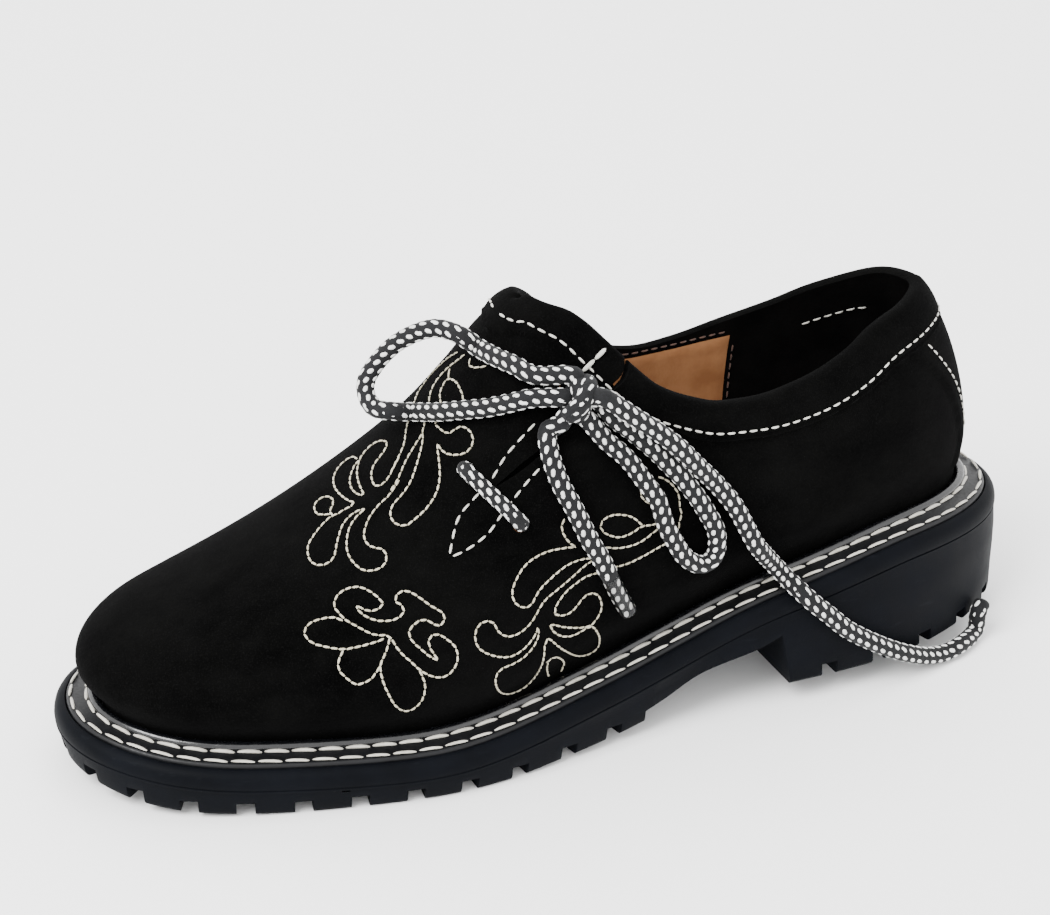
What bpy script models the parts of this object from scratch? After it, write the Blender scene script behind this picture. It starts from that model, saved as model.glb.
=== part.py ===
"""Left side-laced folk shoe in black suede on a lugged rubber sole.

+X is the lateral side, -Y the toe, +Z up. The origin is on the floor, under the middle of the sole.
"""
import math

import bmesh
import bpy
import numpy as np
from mathutils import Vector


def table(columns, rows):
    """A short table: each named column becomes an array."""
    return dict(zip(columns.split(), np.array(rows, float).T))


# Driving sizes, in metres
SOLE_LENGTH = 0.298
SOLE_WIDTH = 0.104
HEEL_HEIGHT = 0.0437
INSTEP_HEIGHT = 0.1265
COLLAR_BACK_HEIGHT = 0.110
TOE_SPRING = 0.0075
LUG_DEPTH = 0.0045
LUG_GAP = 0.0052
LUG_PITCH = 0.0155
HEEL_LUG_PITCH = 0.0165
CHANNEL_INSET = 0.0115
CHANNEL_WIDTH = 0.0045
BREAST_SHARE = 0.303
WAIST_SHARE = 0.455
RIM_WIDTH = 0.0034
RIM_DROP = 0.0011
WALL = 0.0024
BAND_RAISE = 0.0012
BAND_STEP = 0.0010
BACKSTAY_RAISE = 0.0009
FIT_GAP = 0.0003
WELT_THICKNESS = 0.0028
WELT_WIDTH = 0.0091
WELT_BEAD = 0.0029
FOOT_RISE = 0.0028
INSOLE_THICKNESS = 0.0035
SLIT_WIDTH = 0.0016
HOLE_DIAMETER = 0.0058
CORD_DIAMETER = 0.0051
CORD_END_DROP = 0.0004
BAR_LIFT = 0.0048
BAR_SINK = 0.0044
BAR_BEND = 0.0038

# How far the cutting tools reach past what they cut
TOOL_FLOOR = -0.010
TOOL_OVERHANG = 0.004
BLADE_INSIDE = 0.006
BLADE_OUTSIDE = 0.010
DRILL_LENGTH = 0.016

# Stations along each side of the sole, and of the channel in its tread
SOLE_STATIONS = 40
CHANNEL_STATIONS = 18

# Rounding of the welt's and insole's edges, and the welt's fall from its crest to its stitched face
EDGE_ROUNDING = 0.0006
INSOLE_BEVEL = 0.0008
WELT_FALL_INSET = 0.0046
WELT_CAMBER = 0.0004
WELT_CREST_WIDTH = 0.0010

# Steps along and up the last that give the wall's normal
NORMAL_SHARE_STEP = 0.004
NORMAL_HEIGHT_STEP = 0.0015

# The overlays start this far over the welt, and the backstay's edge is this soft on either side
OVERLAY_START = 0.004
STAY_EDGE_OUT = 0.0006
STAY_EDGE_IN = 0.0010

# How far the last's foot lies inside the sole's edge
FOOT_INSET = RIM_WIDTH + FIT_GAP + WELT_WIDTH + FIT_GAP + WALL

# Shares along the length, from the heel
HEEL_CENTRE = 0.15
TOE_CENTRE = 0.86
THROAT_SHARE = 0.53
BACK_SHARE = 0.13
LACING_SHARE = 0.42
LACING_END_SHARE = 0.59

# The breast's height and curve, and where the tread's channels and lugs start and stop
BREAST_RISE = 0.006
BREAST_CURVE_SHARE = 0.010
WAIST_END_SHARE = WAIST_SHARE + 0.006
FORE_CHANNEL_SHARE = WAIST_SHARE + 0.075
HEEL_CHANNEL_SHARE = BREAST_SHARE - 0.03
LUG_MARGIN_SHARE = 0.012
CROSS_START_SHARE = WAIST_SHARE + 0.085
CROSS_END_SHARE = 0.94
CROSS_PITCH = LUG_PITCH * 1.25
NOTCH_REACH = CHANNEL_INSET + CHANNEL_WIDTH * 0.4
CROSS_INSET = CHANNEL_INSET + CHANNEL_WIDTH * 0.6

# The outsole's edge from the tread up: insets from the outline, with the rise over the tread, the share of
# the way up to the seat, or the drop under the welt's stitched face
SOLE_FOOT = table("inset rise", [(0.0030, 0.0), (0.0018, 0.0012)])
SOLE_SIDE_INSET = 0.0008
SOLE_SIDE_SHARE = 0.45
SOLE_SHOULDER = table("inset drop", [
    (0.0, 0.0060), (0.0003, 0.0038), (0.0012, 0.0021), (0.0024, RIM_DROP), (RIM_WIDTH, RIM_DROP)])

# Half widths of the sole, as shares of its width
OUTLINE = table("share lateral medial", [
    (0.000, -0.019, -0.019),
    (0.012, 0.111, -0.147),
    (0.045, 0.221, -0.260),
    (0.120, 0.335, -0.329),
    (0.220, 0.394, -0.317),
    (0.340, 0.400, -0.285),
    (0.450, 0.425, -0.306),
    (0.560, 0.474, -0.396),
    (0.660, 0.500, -0.478),
    (0.760, 0.458, -0.500),
    (0.850, 0.393, -0.462),
    (0.920, 0.315, -0.392),
    (0.970, 0.195, -0.272),
    (1.000, -0.035, -0.035)])

# Height of the welt's stitched face, as a share of the heel height
SEAT = table("share height", [
    (0.00, 0.950), (0.15, 0.995), (0.30, 0.829), (0.50, 0.496), (0.70, 0.330), (0.85, 0.366), (1.00, 0.478)])

# How far the foot of the heel stands out, as a share of the heel height
FLARE = table("share lateral medial", [
    (0.00, 0.036, 0.036), (0.10, 0.080, 0.045), (0.20, 0.105, 0.045), (0.33, 0.105, 0.040), (0.42, 0.0, 0.0),
    (1.00, 0.0, 0.0)])

# Height of the tread over the floor, as a share of the toe spring
TREAD = table("share height", [
    (0.40, 0.90), (0.455, 0.60), (0.50, 0.33), (0.56, 0.13), (0.62, 0.0), (0.80, 0.0),
    (0.88, 0.11), (0.94, 0.33), (1.00, 0.80)])

# Underside of the waist, as a share of the heel height
WAIST = table("share height", [
    (0.260, 0.640), (0.300, 0.570), (0.333, 0.490), (0.400, 0.375), (0.440, 0.250), (0.470, 0.170), (0.500, 0.020)])

# The last: its crest over the floor as a share of the instep height, its crest line as a share of the
# sole's width, and the fullness of its arch
LAST = table("share crest line fullness", [
    (0.00, 0.895, -0.020, 1.65),
    (0.15, 0.930, -0.018, 1.92),
    (0.30, 0.966, 0.002, 2.0),
    (0.45, 0.992, 0.004, 2.0),
    (0.50, 0.992, 0.002, 2.0),
    (0.53, 0.972, 0.000, 2.0),
    (0.55, 0.938, -0.002, 2.0),
    (0.58, 0.850, -0.006, 2.0),
    (0.62, 0.745, -0.010, 2.0),
    (0.69, 0.614, -0.014, 2.0),
    (0.75, 0.525, -0.018, 2.0),
    (0.82, 0.443, -0.022, 2.05),
    (0.87, 0.397, -0.025, 2.15),
    (0.93, 0.366, -0.025, 2.25),
    (1.00, 0.336, -0.025, 2.3)])

# Where the last is widest: how far inside the sole's edge, as shares of the sole's width, and how high
# over the welt, as a share of the heel height
SIDE = table("share lateral medial rise", [
    (0.00, 0.142, 0.142, 0.36),
    (0.15, 0.110, 0.095, 0.40),
    (0.35, 0.070, 0.030, 0.46),
    (0.50, 0.070, 0.040, 0.48),
    (0.65, 0.075, 0.070, 0.42),
    (0.80, 0.085, 0.085, 0.34),
    (1.00, 0.090, 0.090, 0.30)])

# Height of the collar's edge, as a share of its height at the back
COLLAR = table("share lateral medial", [
    (0.080, 0.985, 0.985),
    (0.120, 0.988, 0.972),
    (0.150, 0.980, 0.950),
    (0.190, 0.958, 0.925),
    (0.220, 0.926, 0.898),
    (0.280, 0.884, 0.862),
    (0.330, 0.868, 0.834),
    (0.365, 0.873, 0.826),
    (0.400, 0.902, 0.842),
    (0.430, 0.942, 0.910),
    (0.450, 0.990, 0.950),
    (0.474, 1.058, 0.996),
    (0.490, 1.099, 1.036),
    (0.505, 1.121, 1.076),
    (0.520, 1.128, 1.110),
    (0.530, 1.130, 1.130)])

# Width of the collar band under the edge, in metres
BAND = table("share width", [
    (0.00, 0.0133), (0.15, 0.0136), (0.22, 0.0134), (0.28, 0.0126), (0.35, 0.0113), (0.43, 0.0111), (0.50, 0.0118),
    (0.53, 0.0114), (1.00, 0.0114)])

# Half width of the backstay, as a share of the sole's width, by height over the welt as a share of the
# collar's height at the back
BACKSTAY = table("height half_width", [(0.00, 0.110), (0.15, 0.125), (0.30, 0.155), (0.45, 0.200), (0.60, 0.230)])

# Middle line of the side slit: share along the shoe and height, as a share of the instep height
SLIT = table("share height", [
    (0.452, 0.905), (0.465, 0.850), (0.479, 0.832), (0.503, 0.804), (0.535, 0.763), (0.557, 0.725), (0.580, 0.687),
    (0.596, 0.662)])

# Lace holes, as the slit: lower front, lower rear, upper front, upper rear
HOLES = table("share height", [(0.617, 0.682), (0.582, 0.589), (0.533, 0.852), (0.492, 0.755)])

# Middle lines of the lace's free strands: share along the shoe, across as a share of the sole's width and
# height as a share of the instep height
KNOT = table("share across height", [
    (0.512, 0.284, 0.872), (0.512, 0.304, 0.882), (0.514, 0.326, 0.885), (0.518, 0.345, 0.880),
    (0.523, 0.357, 0.869), (0.528, 0.358, 0.854), (0.532, 0.349, 0.839), (0.533, 0.332, 0.827),
    (0.532, 0.310, 0.821)])

LOOP_FRONT = table("share across height", [
    (0.523, 0.289, 0.900), (0.555, 0.245, 0.898), (0.568, 0.191, 0.909), (0.577, 0.127, 0.909),
    (0.584, 0.055, 0.909), (0.598, 0.038, 0.937), (0.609, 0.000, 0.944), (0.619, -0.029, 0.941),
    (0.633, -0.063, 0.921), (0.648, -0.087, 0.894), (0.662, -0.101, 0.858), (0.675, -0.101, 0.816),
    (0.679, -0.077, 0.787), (0.676, -0.038, 0.768), (0.664, 0.005, 0.771), (0.643, 0.005, 0.759),
    (0.628, 0.084, 0.782), (0.612, 0.145, 0.803), (0.596, 0.194, 0.819), (0.576, 0.245, 0.843),
    (0.564, 0.273, 0.857), (0.539, 0.306, 0.860)])

LOOP_REAR = table("share across height", [
    (0.519, 0.334, 0.818), (0.498, 0.345, 0.751), (0.484, 0.356, 0.718), (0.474, 0.363, 0.689),
    (0.466, 0.371, 0.659), (0.457, 0.378, 0.626), (0.449, 0.383, 0.594), (0.445, 0.388, 0.559),
    (0.440, 0.392, 0.523), (0.432, 0.395, 0.486), (0.422, 0.395, 0.445), (0.408, 0.393, 0.416),
    (0.396, 0.392, 0.412), (0.387, 0.389, 0.429), (0.385, 0.387, 0.462), (0.388, 0.385, 0.498),
    (0.396, 0.381, 0.535), (0.404, 0.378, 0.569), (0.413, 0.372, 0.602), (0.423, 0.366, 0.636),
    (0.435, 0.360, 0.669), (0.447, 0.352, 0.703), (0.460, 0.344, 0.734), (0.473, 0.333, 0.764),
    (0.489, 0.334, 0.798), (0.506, 0.317, 0.852)])

TAIL_SHORT = table("share across height", [
    (0.541, 0.322, 0.803), (0.553, 0.315, 0.791), (0.555, 0.333, 0.761), (0.553, 0.356, 0.719),
    (0.548, 0.379, 0.675), (0.540, 0.396, 0.633), (0.532, 0.407, 0.588), (0.524, 0.417, 0.542),
    (0.515, 0.420, 0.504), (0.506, 0.425, 0.455), (0.496, 0.424, 0.402), (0.484, 0.421, 0.347)])

TAIL_LONG = table("share across height", [
    (0.507, 0.372, 0.871), (0.494, 0.375, 0.848), (0.474, 0.381, 0.809), (0.451, 0.383, 0.765),
    (0.428, 0.386, 0.714), (0.408, 0.380, 0.659), (0.389, 0.372, 0.609), (0.375, 0.378, 0.567),
    (0.365, 0.383, 0.532), (0.356, 0.385, 0.490), (0.342, 0.387, 0.427), (0.317, 0.347, 0.354),
    (0.303, 0.360, 0.313), (0.295, 0.412, 0.292), (0.283, 0.430, 0.262), (0.266, 0.437, 0.224),
    (0.249, 0.442, 0.184), (0.230, 0.444, 0.151), (0.214, 0.444, 0.126), (0.196, 0.439, 0.099),
    (0.176, 0.433, 0.073), (0.151, 0.416, 0.044), (0.125, 0.395, 0.026), (0.100, 0.373, 0.026),
    (0.071, 0.320, 0.026), (0.067, 0.313, 0.068), (0.060, 0.299, 0.088)])


def clean_scene():
    for item in list(bpy.data.objects):
        bpy.data.objects.remove(item, do_unlink=True)


def smooth(rows, column, value, key="share"):
    """A smooth curve through one column of a table, with no overshoot."""
    x = rows[key]
    y = rows[column]
    step = np.diff(x)
    slope = np.diff(y) / step
    tangent = np.empty(len(x))
    tangent[0] = slope[0]
    tangent[-1] = slope[-1]
    for i in range(1, len(x) - 1):
        if slope[i - 1] * slope[i] <= 0:
            tangent[i] = 0.0
        else:
            before = 2 * step[i] + step[i - 1]
            after = step[i] + 2 * step[i - 1]
            tangent[i] = (before + after) / (before / slope[i - 1] + after / slope[i])
    value = np.clip(np.asarray(value, float), x[0], x[-1])
    i = np.clip(np.searchsorted(x, value, side="right") - 1, 0, len(x) - 2)
    t = (value - x[i]) / step[i]
    rise = y[i] * (1 + 2 * t) * (1 - t) ** 2 + tangent[i] * step[i] * t * (1 - t) ** 2
    return rise + y[i + 1] * t * t * (3 - 2 * t) + tangent[i + 1] * step[i] * t * t * (t - 1)


def place(share):
    """Y of a share along the length."""
    return (0.5 - share) * SOLE_LENGTH


def share_at(y):
    return 0.5 - y / SOLE_LENGTH


def turn(share):
    """The angle that spreads the stations round both ends."""
    return np.arccos(1 - 2 * np.asarray(share, float))


def seat(share):
    return smooth(SEAT, "height", share) * HEEL_HEIGHT


def closed_spline(knots, values):
    """Second derivatives of the smooth closed curve through values at knots, over one full turn."""
    count = len(knots)
    step = np.diff(np.append(knots, knots[0] + 2 * math.pi))
    matrix = np.zeros((count, count))
    right = np.zeros(count)
    for i in range(count):
        before = step[i - 1]
        after = step[i]
        matrix[i, (i - 1) % count] += before
        matrix[i, i] += 2 * (before + after)
        matrix[i, (i + 1) % count] += after
        rise = (values[(i + 1) % count] - values[i]) / after
        right[i] = 6 * (rise - (values[i] - values[i - 1]) / before)
    return np.linalg.solve(matrix, right)


# The outline as one closed curve: the lateral side in the first half turn, the medial side in the second
HALF_TURNS = turn(OUTLINE["share"])
KNOTS = np.append(HALF_TURNS, 2 * math.pi - HALF_TURNS[-2:0:-1])
KNOT_WIDTHS = np.append(OUTLINE["lateral"], OUTLINE["medial"][-2:0:-1])
KNOT_BENDS = closed_spline(KNOTS, KNOT_WIDTHS)


def outline_width(phase):
    """Half width at a phase of the turn, as a share of the sole's width, and its slope."""
    phase = phase % (2 * math.pi)
    i = int(np.searchsorted(KNOTS, phase, side="right")) - 1
    j = (i + 1) % len(KNOTS)
    step = (KNOTS[j] - KNOTS[i]) % (2 * math.pi)
    t = (phase - KNOTS[i]) / step
    u = 1 - t
    bend = step * step / 6
    width = u * KNOT_WIDTHS[i] + t * KNOT_WIDTHS[j]
    width += bend * ((u ** 3 - u) * KNOT_BENDS[i] + (t ** 3 - t) * KNOT_BENDS[j])
    slope = (KNOT_WIDTHS[j] - KNOT_WIDTHS[i]) / step
    slope += step / 6 * ((3 * t * t - 1) * KNOT_BENDS[j] - (3 * u * u - 1) * KNOT_BENDS[i])
    return width, slope


def phase_of(angle, side):
    return angle if side == "lateral" else 2 * math.pi - angle


def outline_point(angle, side):
    width, _ = outline_width(phase_of(angle, side))
    return np.array([width * SOLE_WIDTH, math.cos(angle) * SOLE_LENGTH / 2])


def edge_normal(angle, side):
    """Outward normal of the sole's outline, in plan."""
    phase = phase_of(angle, side)
    _, slope = outline_width(phase)
    normal = np.array([math.sin(phase) * SOLE_LENGTH / 2, slope * SOLE_WIDTH])
    return normal / np.linalg.norm(normal)


def inset_point(angle, side, inset):
    return outline_point(angle, side) - edge_normal(angle, side) * inset


def ring_stations(count):
    """Stations round the whole outline: lateral side from heel to toe, then back along the medial side."""
    angles = [math.pi * i / count for i in range(count + 1)]
    return [(a, "lateral") for a in angles] + [(a, "medial") for a in reversed(angles[1:-1])]


def ring(stations, inset, height, flare=0.0):
    """A closed ring inside the outline. height is a function of the share along the length, and flare is how
    much of the heel's flare reaches this ring."""
    points = []
    for angle, side in stations:
        lean = float(smooth(FLARE, side, (1 - math.cos(angle)) / 2)) * HEEL_HEIGHT
        x, y = inset_point(angle, side, inset - lean * flare)
        points.append((x, y, float(height(share_at(y)))))
    return points


def material(name, colour, roughness, metallic=0.0):
    made = bpy.data.materials.new(name)
    made.use_nodes = True
    shader = made.node_tree.nodes["Principled BSDF"]
    shader.inputs["Base Color"].default_value = (*colour, 1.0)
    shader.inputs["Roughness"].default_value = roughness
    shader.inputs["Metallic"].default_value = metallic
    made.diffuse_color = (*colour, 1.0)
    return made


def add_object(name, mesh, finish, collection, angle=35):
    made = bpy.data.objects.new(name, mesh)
    collection.objects.link(made)
    if finish:
        mesh.materials.append(finish)
    mesh.shade_smooth()
    mesh.set_sharp_from_angle(angle=math.radians(angle))
    return made


def loft_rings(name, rings, capped=True):
    """Joins closed rings of equal count. Caps run as ladders between the two sides."""
    mesh = bpy.data.meshes.new(name)
    build = bmesh.new()
    count = len(rings[0])
    rows = [[build.verts.new(p) for p in points] for points in rings]
    for low, high in zip(rows[:-1], rows[1:]):
        for i in range(count):
            j = (i + 1) % count
            build.faces.new((low[i], low[j], high[j], high[i]))
    if capped:
        half = count // 2
        for row in (rows[0], rows[-1]):
            build.faces.new((row[0], row[1], row[-1]))
            for i in range(1, half - 1):
                build.faces.new((row[i], row[i + 1], row[-i - 1], row[-i]))
            build.faces.new((row[half - 1], row[half], row[half + 1]))
    else:
        for i in range(count):
            j = (i + 1) % count
            build.faces.new((rows[-1][i], rows[-1][j], rows[0][j], rows[0][i]))
    bmesh.ops.recalc_face_normals(build, faces=build.faces)
    build.to_mesh(mesh)
    build.free()
    return mesh


def boolean(target, cutter, operation="DIFFERENCE"):
    change = target.modifiers.new(cutter.name, "BOOLEAN")
    change.object = cutter
    change.operation = operation
    change.solver = "EXACT"


def box_mesh(build, centre, forward, length, width, low, high):
    """Adds an upright box to a bmesh: length runs along forward, in plan."""
    side = Vector((-forward.y, forward.x, 0.0))
    corners = []
    for z in (low, high):
        for a, b in ((-1, -1), (1, -1), (1, 1), (-1, 1)):
            at = centre + forward * (a * length / 2) + side * (b * width / 2)
            corners.append(build.verts.new((at.x, at.y, z)))
    for quad in ((3, 2, 1, 0), (4, 5, 6, 7), (0, 1, 5, 4), (1, 2, 6, 5), (2, 3, 7, 6), (3, 0, 4, 7)):
        build.faces.new([corners[i] for i in quad])


def tread_height(share):
    """The sole's lowest face: flat under the heel and the ball, raised at the toe."""
    lifted = smooth(TREAD, "height", share) * TOE_SPRING
    return np.where(np.asarray(share) < (BREAST_SHARE + WAIST_SHARE) / 2, 0.0, lifted)


def groove_roof(share):
    return tread_height(share) + LUG_DEPTH


def heel_and_forefoot_walk(start, stop, pitch):
    """Angles along both sides, a pitch apart along the edge, from one share to another by way of the end."""
    angles = np.linspace(turn(start), turn(stop), 400)
    points = [outline_point(a, "lateral") for a in angles]
    reverse = [outline_point(a, "medial") for a in angles[::-1]]
    path = points + reverse[1:]
    tags = [(a, "lateral") for a in angles] + [(a, "medial") for a in angles[::-1][1:]]
    run = np.r_[0, np.cumsum([np.linalg.norm(b - a) for a, b in zip(path[:-1], path[1:])])]
    count = int(run[-1] // pitch)
    spacing = run[-1] / count
    return [tags[int(np.searchsorted(run, spacing * (i + 0.5)))] for i in range(count)]


def make_sole(parts, cutters):
    stations = ring_stations(SOLE_STATIONS)

    def foot(rise):
        return lambda share: tread_height(share) + rise

    def side(share):
        return (1 - SOLE_SIDE_SHARE) * tread_height(share) + SOLE_SIDE_SHARE * seat(share)

    def under_seat(drop):
        return lambda share: seat(share) - drop

    bed = WELT_THICKNESS + FIT_GAP
    rings = [ring(stations, inset, foot(rise), 1.0) for inset, rise in zip(*SOLE_FOOT.values())]
    rings.append(ring(stations, SOLE_SIDE_INSET, side, 1 - SOLE_SIDE_SHARE))
    rings += [ring(stations, inset, under_seat(drop)) for inset, drop in zip(*SOLE_SHOULDER.values())]
    for inset in (RIM_WIDTH, FOOT_INSET - WALL, FOOT_INSET + FIT_GAP):
        rings.append(ring(stations, inset, under_seat(bed)))
    sole = add_object("outsole", loft_rings("outsole", rings), material("rubber", (0.030, 0.032, 0.036), 0.62),
                      parts, 40)

    # The waist between heel breast and forefoot lugs
    profile = [(BREAST_SHARE, TOOL_FLOOR), (BREAST_SHARE, BREAST_RISE)]
    for share in np.linspace(BREAST_SHARE + BREAST_CURVE_SHARE, WAIST_END_SHARE, 12):
        profile.append((share, float(smooth(WAIST, "height", share) * HEEL_HEIGHT)))
    profile.append((WAIST_END_SHARE, TOOL_FLOOR))
    build = bmesh.new()
    near = [build.verts.new((SOLE_WIDTH, place(s), z)) for s, z in profile]
    far = [build.verts.new((-SOLE_WIDTH, place(s), z)) for s, z in profile]
    build.faces.new(near)
    build.faces.new(far[::-1])
    for i in range(len(near)):
        j = (i + 1) % len(near)
        build.faces.new((near[i], far[i], far[j], near[j]))
    bmesh.ops.recalc_face_normals(build, faces=build.faces)
    mesh = bpy.data.meshes.new("waist_cutter")
    build.to_mesh(mesh)
    build.free()
    waist = add_object("waist_cutter", mesh, None, cutters)
    boolean(sole, waist)

    # The channel between edge lugs and the middle of the tread, under forefoot and heel
    for name, start, stop in (("forefoot_channel", FORE_CHANNEL_SHARE, 1.0), ("heel_channel", 0.0, HEEL_CHANNEL_SHARE)):
        low, high = sorted((float(turn(start)), float(turn(stop))))
        angles = np.linspace(low, high, CHANNEL_STATIONS)
        if start == 0.0:
            walk = [(a, "lateral") for a in angles[::-1]] + [(a, "medial") for a in angles[1:]]
        else:
            walk = [(a, "lateral") for a in angles] + [(a, "medial") for a in angles[::-1][1:]]
        build = bmesh.new()
        rows = []
        for angle, side in walk:
            outer = inset_point(angle, side, CHANNEL_INSET)
            inner = inset_point(angle, side, CHANNEL_INSET + CHANNEL_WIDTH)
            roof = float(groove_roof(share_at(outer[1])))
            rows.append([build.verts.new((*p, z)) for p, z in
                         ((outer, TOOL_FLOOR), (inner, TOOL_FLOOR), (inner, roof), (outer, roof))])
        for before, after in zip(rows[:-1], rows[1:]):
            for i in range(4):
                j = (i + 1) % 4
                build.faces.new((before[i], before[j], after[j], after[i]))
        build.faces.new(rows[0][::-1])
        build.faces.new(rows[-1])
        bmesh.ops.recalc_face_normals(build, faces=build.faces)
        mesh = bpy.data.meshes.new(name)
        build.to_mesh(mesh)
        build.free()
        boolean(sole, add_object(name, mesh, None, cutters))

    # Notches between the edge lugs, then bars across the middle
    build = bmesh.new()
    walks = heel_and_forefoot_walk(WAIST_SHARE + LUG_MARGIN_SHARE, 1.0, LUG_PITCH)
    walks += heel_and_forefoot_walk(BREAST_SHARE - LUG_MARGIN_SHARE, 0.0, HEEL_LUG_PITCH)
    for angle, side in walks:
        inward = -edge_normal(angle, side)
        start = outline_point(angle, side) - inward * TOOL_OVERHANG
        stop = outline_point(angle, side) + inward * NOTCH_REACH
        middle = Vector((*((start + stop) / 2), 0.0))
        forward = Vector((*inward, 0.0))
        roof = float(groove_roof(share_at(outline_point(angle, side)[1])))
        box_mesh(build, middle, forward, NOTCH_REACH + TOOL_OVERHANG, LUG_GAP, TOOL_FLOOR, roof)
    for share in np.arange(CROSS_START_SHARE, CROSS_END_SHARE, CROSS_PITCH / SOLE_LENGTH):
        angle = float(turn(share))
        left = inset_point(angle, "medial", CROSS_INSET)[0]
        right = inset_point(angle, "lateral", CROSS_INSET)[0]
        middle = Vector(((left + right) / 2, place(share), 0.0))
        box_mesh(build, middle, Vector((1, 0, 0)), right - left, LUG_GAP, TOOL_FLOOR, float(groove_roof(share)))
    mesh = bpy.data.meshes.new("notch_cutter")
    build.to_mesh(mesh)
    build.free()
    boolean(sole, add_object("notch_cutter", mesh, None, cutters))
    sole.modifiers["notch_cutter"].use_self = True
    return sole


def make_welt(parts):
    stations = ring_stations(SOLE_STATIONS)
    outer = RIM_WIDTH + FIT_GAP
    inner = outer + WELT_WIDTH

    def over(rise):
        return lambda share: seat(share) + rise

    rings = [
        ring(stations, outer, over(-WELT_THICKNESS)),
        ring(stations, outer, over(-WELT_CAMBER)),
        ring(stations, outer + EDGE_ROUNDING, over(0.0)),
        ring(stations, outer + WELT_FALL_INSET, over(WELT_CAMBER)),
        ring(stations, inner - EDGE_ROUNDING - WELT_CREST_WIDTH, over(WELT_BEAD)),
        ring(stations, inner - EDGE_ROUNDING, over(WELT_BEAD)),
        ring(stations, inner, over(WELT_BEAD - EDGE_ROUNDING)),
        ring(stations, inner, over(-WELT_THICKNESS))]
    mesh = loft_rings("welt", rings, capped=False)
    return add_object("welt", mesh, material("welt_leather", (0.012, 0.012, 0.014), 0.35), parts, 40)


def make_insole(parts):
    stations = ring_stations(SOLE_STATIONS)
    edge = FOOT_INSET + FIT_GAP
    base = -WELT_THICKNESS
    rings = [
        ring(stations, edge, lambda s: seat(s) + base),
        ring(stations, edge, lambda s: seat(s) + base + INSOLE_THICKNESS - EDGE_ROUNDING),
        ring(stations, edge + INSOLE_BEVEL, lambda s: seat(s) + base + INSOLE_THICKNESS)]
    mesh = loft_rings("insole", rings)
    return add_object("insole", mesh, material("insole_leather", (0.34, 0.17, 0.075), 0.6), parts, 40)


def spine(share):
    held = float(np.clip(share, HEEL_CENTRE, TOE_CENTRE))
    return np.array([float(smooth(LAST, "line", held)) * SOLE_WIDTH, place(held)])


def crest(share):
    return smooth(LAST, "crest", share) * INSTEP_HEIGHT


def last_station(angle, side):
    """What the last's half section needs at one station."""
    share = (1 - math.cos(angle)) / 2
    foot = inset_point(angle, side, FOOT_INSET)
    reach = float(smooth(SIDE, side, share)) * SOLE_WIDTH
    wide = inset_point(angle, side, max(reach, WALL))
    base = float(seat(share_at(foot[1])))
    return {
        "share": share,
        "foot": foot,
        "wide": wide,
        "spine": spine(share),
        "base": base - WELT_THICKNESS,
        "turn_out": base + FOOT_RISE,
        "belly": base + float(smooth(SIDE, "rise", share)) * HEEL_HEIGHT,
        "fullness": float(smooth(LAST, "fullness", share))}


def arch_point(station, angle):
    """A point on the last over its widest line. angle runs from 0 there to a quarter turn at the crest."""
    power = 2.0 / station["fullness"]
    across = max(math.cos(angle), 0.0) ** power
    up = max(math.sin(angle), 0.0) ** power
    plan = station["spine"] + (station["wide"] - station["spine"]) * across
    top = float(crest(share_at(plan[1])))
    return np.array([plan[0], plan[1], station["belly"] + (top - station["belly"]) * up])


def side_point(station, t):
    """A point on the last under its widest line. t runs from 0 at the welt to 1."""
    ease = t * t * (3 - 2 * t)
    plan = station["foot"] + (station["wide"] - station["foot"]) * ease
    return np.array([plan[0], plan[1], station["turn_out"] + (station["belly"] - station["turn_out"]) * t])


def collar_angle(station, side):
    """Where the collar's edge cuts the half section."""
    low, high = 0.0, math.pi / 2
    for _ in range(40):
        middle = (low + high) / 2
        point = arch_point(station, middle)
        edge = float(smooth(COLLAR, side, share_at(point[1]))) * COLLAR_BACK_HEIGHT
        if point[2] < edge:
            low = middle
        else:
            high = middle
    return low


def shoe_angles():
    """Stations from heel to toe: closer together round both ends and at the throat."""
    heel = np.linspace(0.0, float(turn(BACK_SHARE)), 7)
    quarter = turn(np.linspace(BACK_SHARE, LACING_SHARE, 8))
    throat = turn(np.linspace(LACING_SHARE, LACING_END_SHARE, 14))
    vamp = turn(np.linspace(LACING_END_SHARE, TOE_CENTRE, 8))
    toe = np.linspace(float(turn(TOE_CENTRE)), math.pi, 8)
    return [float(a) for a in np.concatenate([heel, quarter[1:], throat[1:], vamp[1:], toe[1:]])]


# Rows of the upper, as shares of the way up the arch and up the side
ARCH_ROWS = (0.0, 0.18, 0.36, 0.54, 0.72, 0.88)
SIDE_ROWS = (0.0, 0.3, 0.65)


def angle_below(station, end, distance):
    """The angle of the point that lies a distance under the end of the half section."""
    angles = np.linspace(end, 0.0, 50)
    points = np.array([arch_point(station, a) for a in angles])
    run = np.r_[0, np.cumsum(np.linalg.norm(np.diff(points, axis=0), axis=1))]
    return float(np.interp(distance, run, angles))


def band_width(share):
    return float(smooth(BAND, "width", share))


def section_rows(angle, side):
    """One column of the last's surface, from the foot to the crest or the collar."""
    station = last_station(angle, side)
    foot = station["foot"]
    rows = [np.array([foot[0], foot[1], station["base"]])]
    rows += [side_point(station, t) for t in SIDE_ROWS]
    is_open = station["share"] < THROAT_SHARE
    end = collar_angle(station, side) if is_open else math.pi / 2
    width = band_width(share_at(arch_point(station, end)[1]))
    under = angle_below(station, end, width + BAND_STEP)
    rows += [arch_point(station, under * t) for t in ARCH_ROWS]
    rows.append(arch_point(station, under))
    rows.append(arch_point(station, angle_below(station, end, width)))
    rows.append(arch_point(station, angle_below(station, end, width / 2)))
    rows.append(arch_point(station, end))
    return rows


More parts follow.
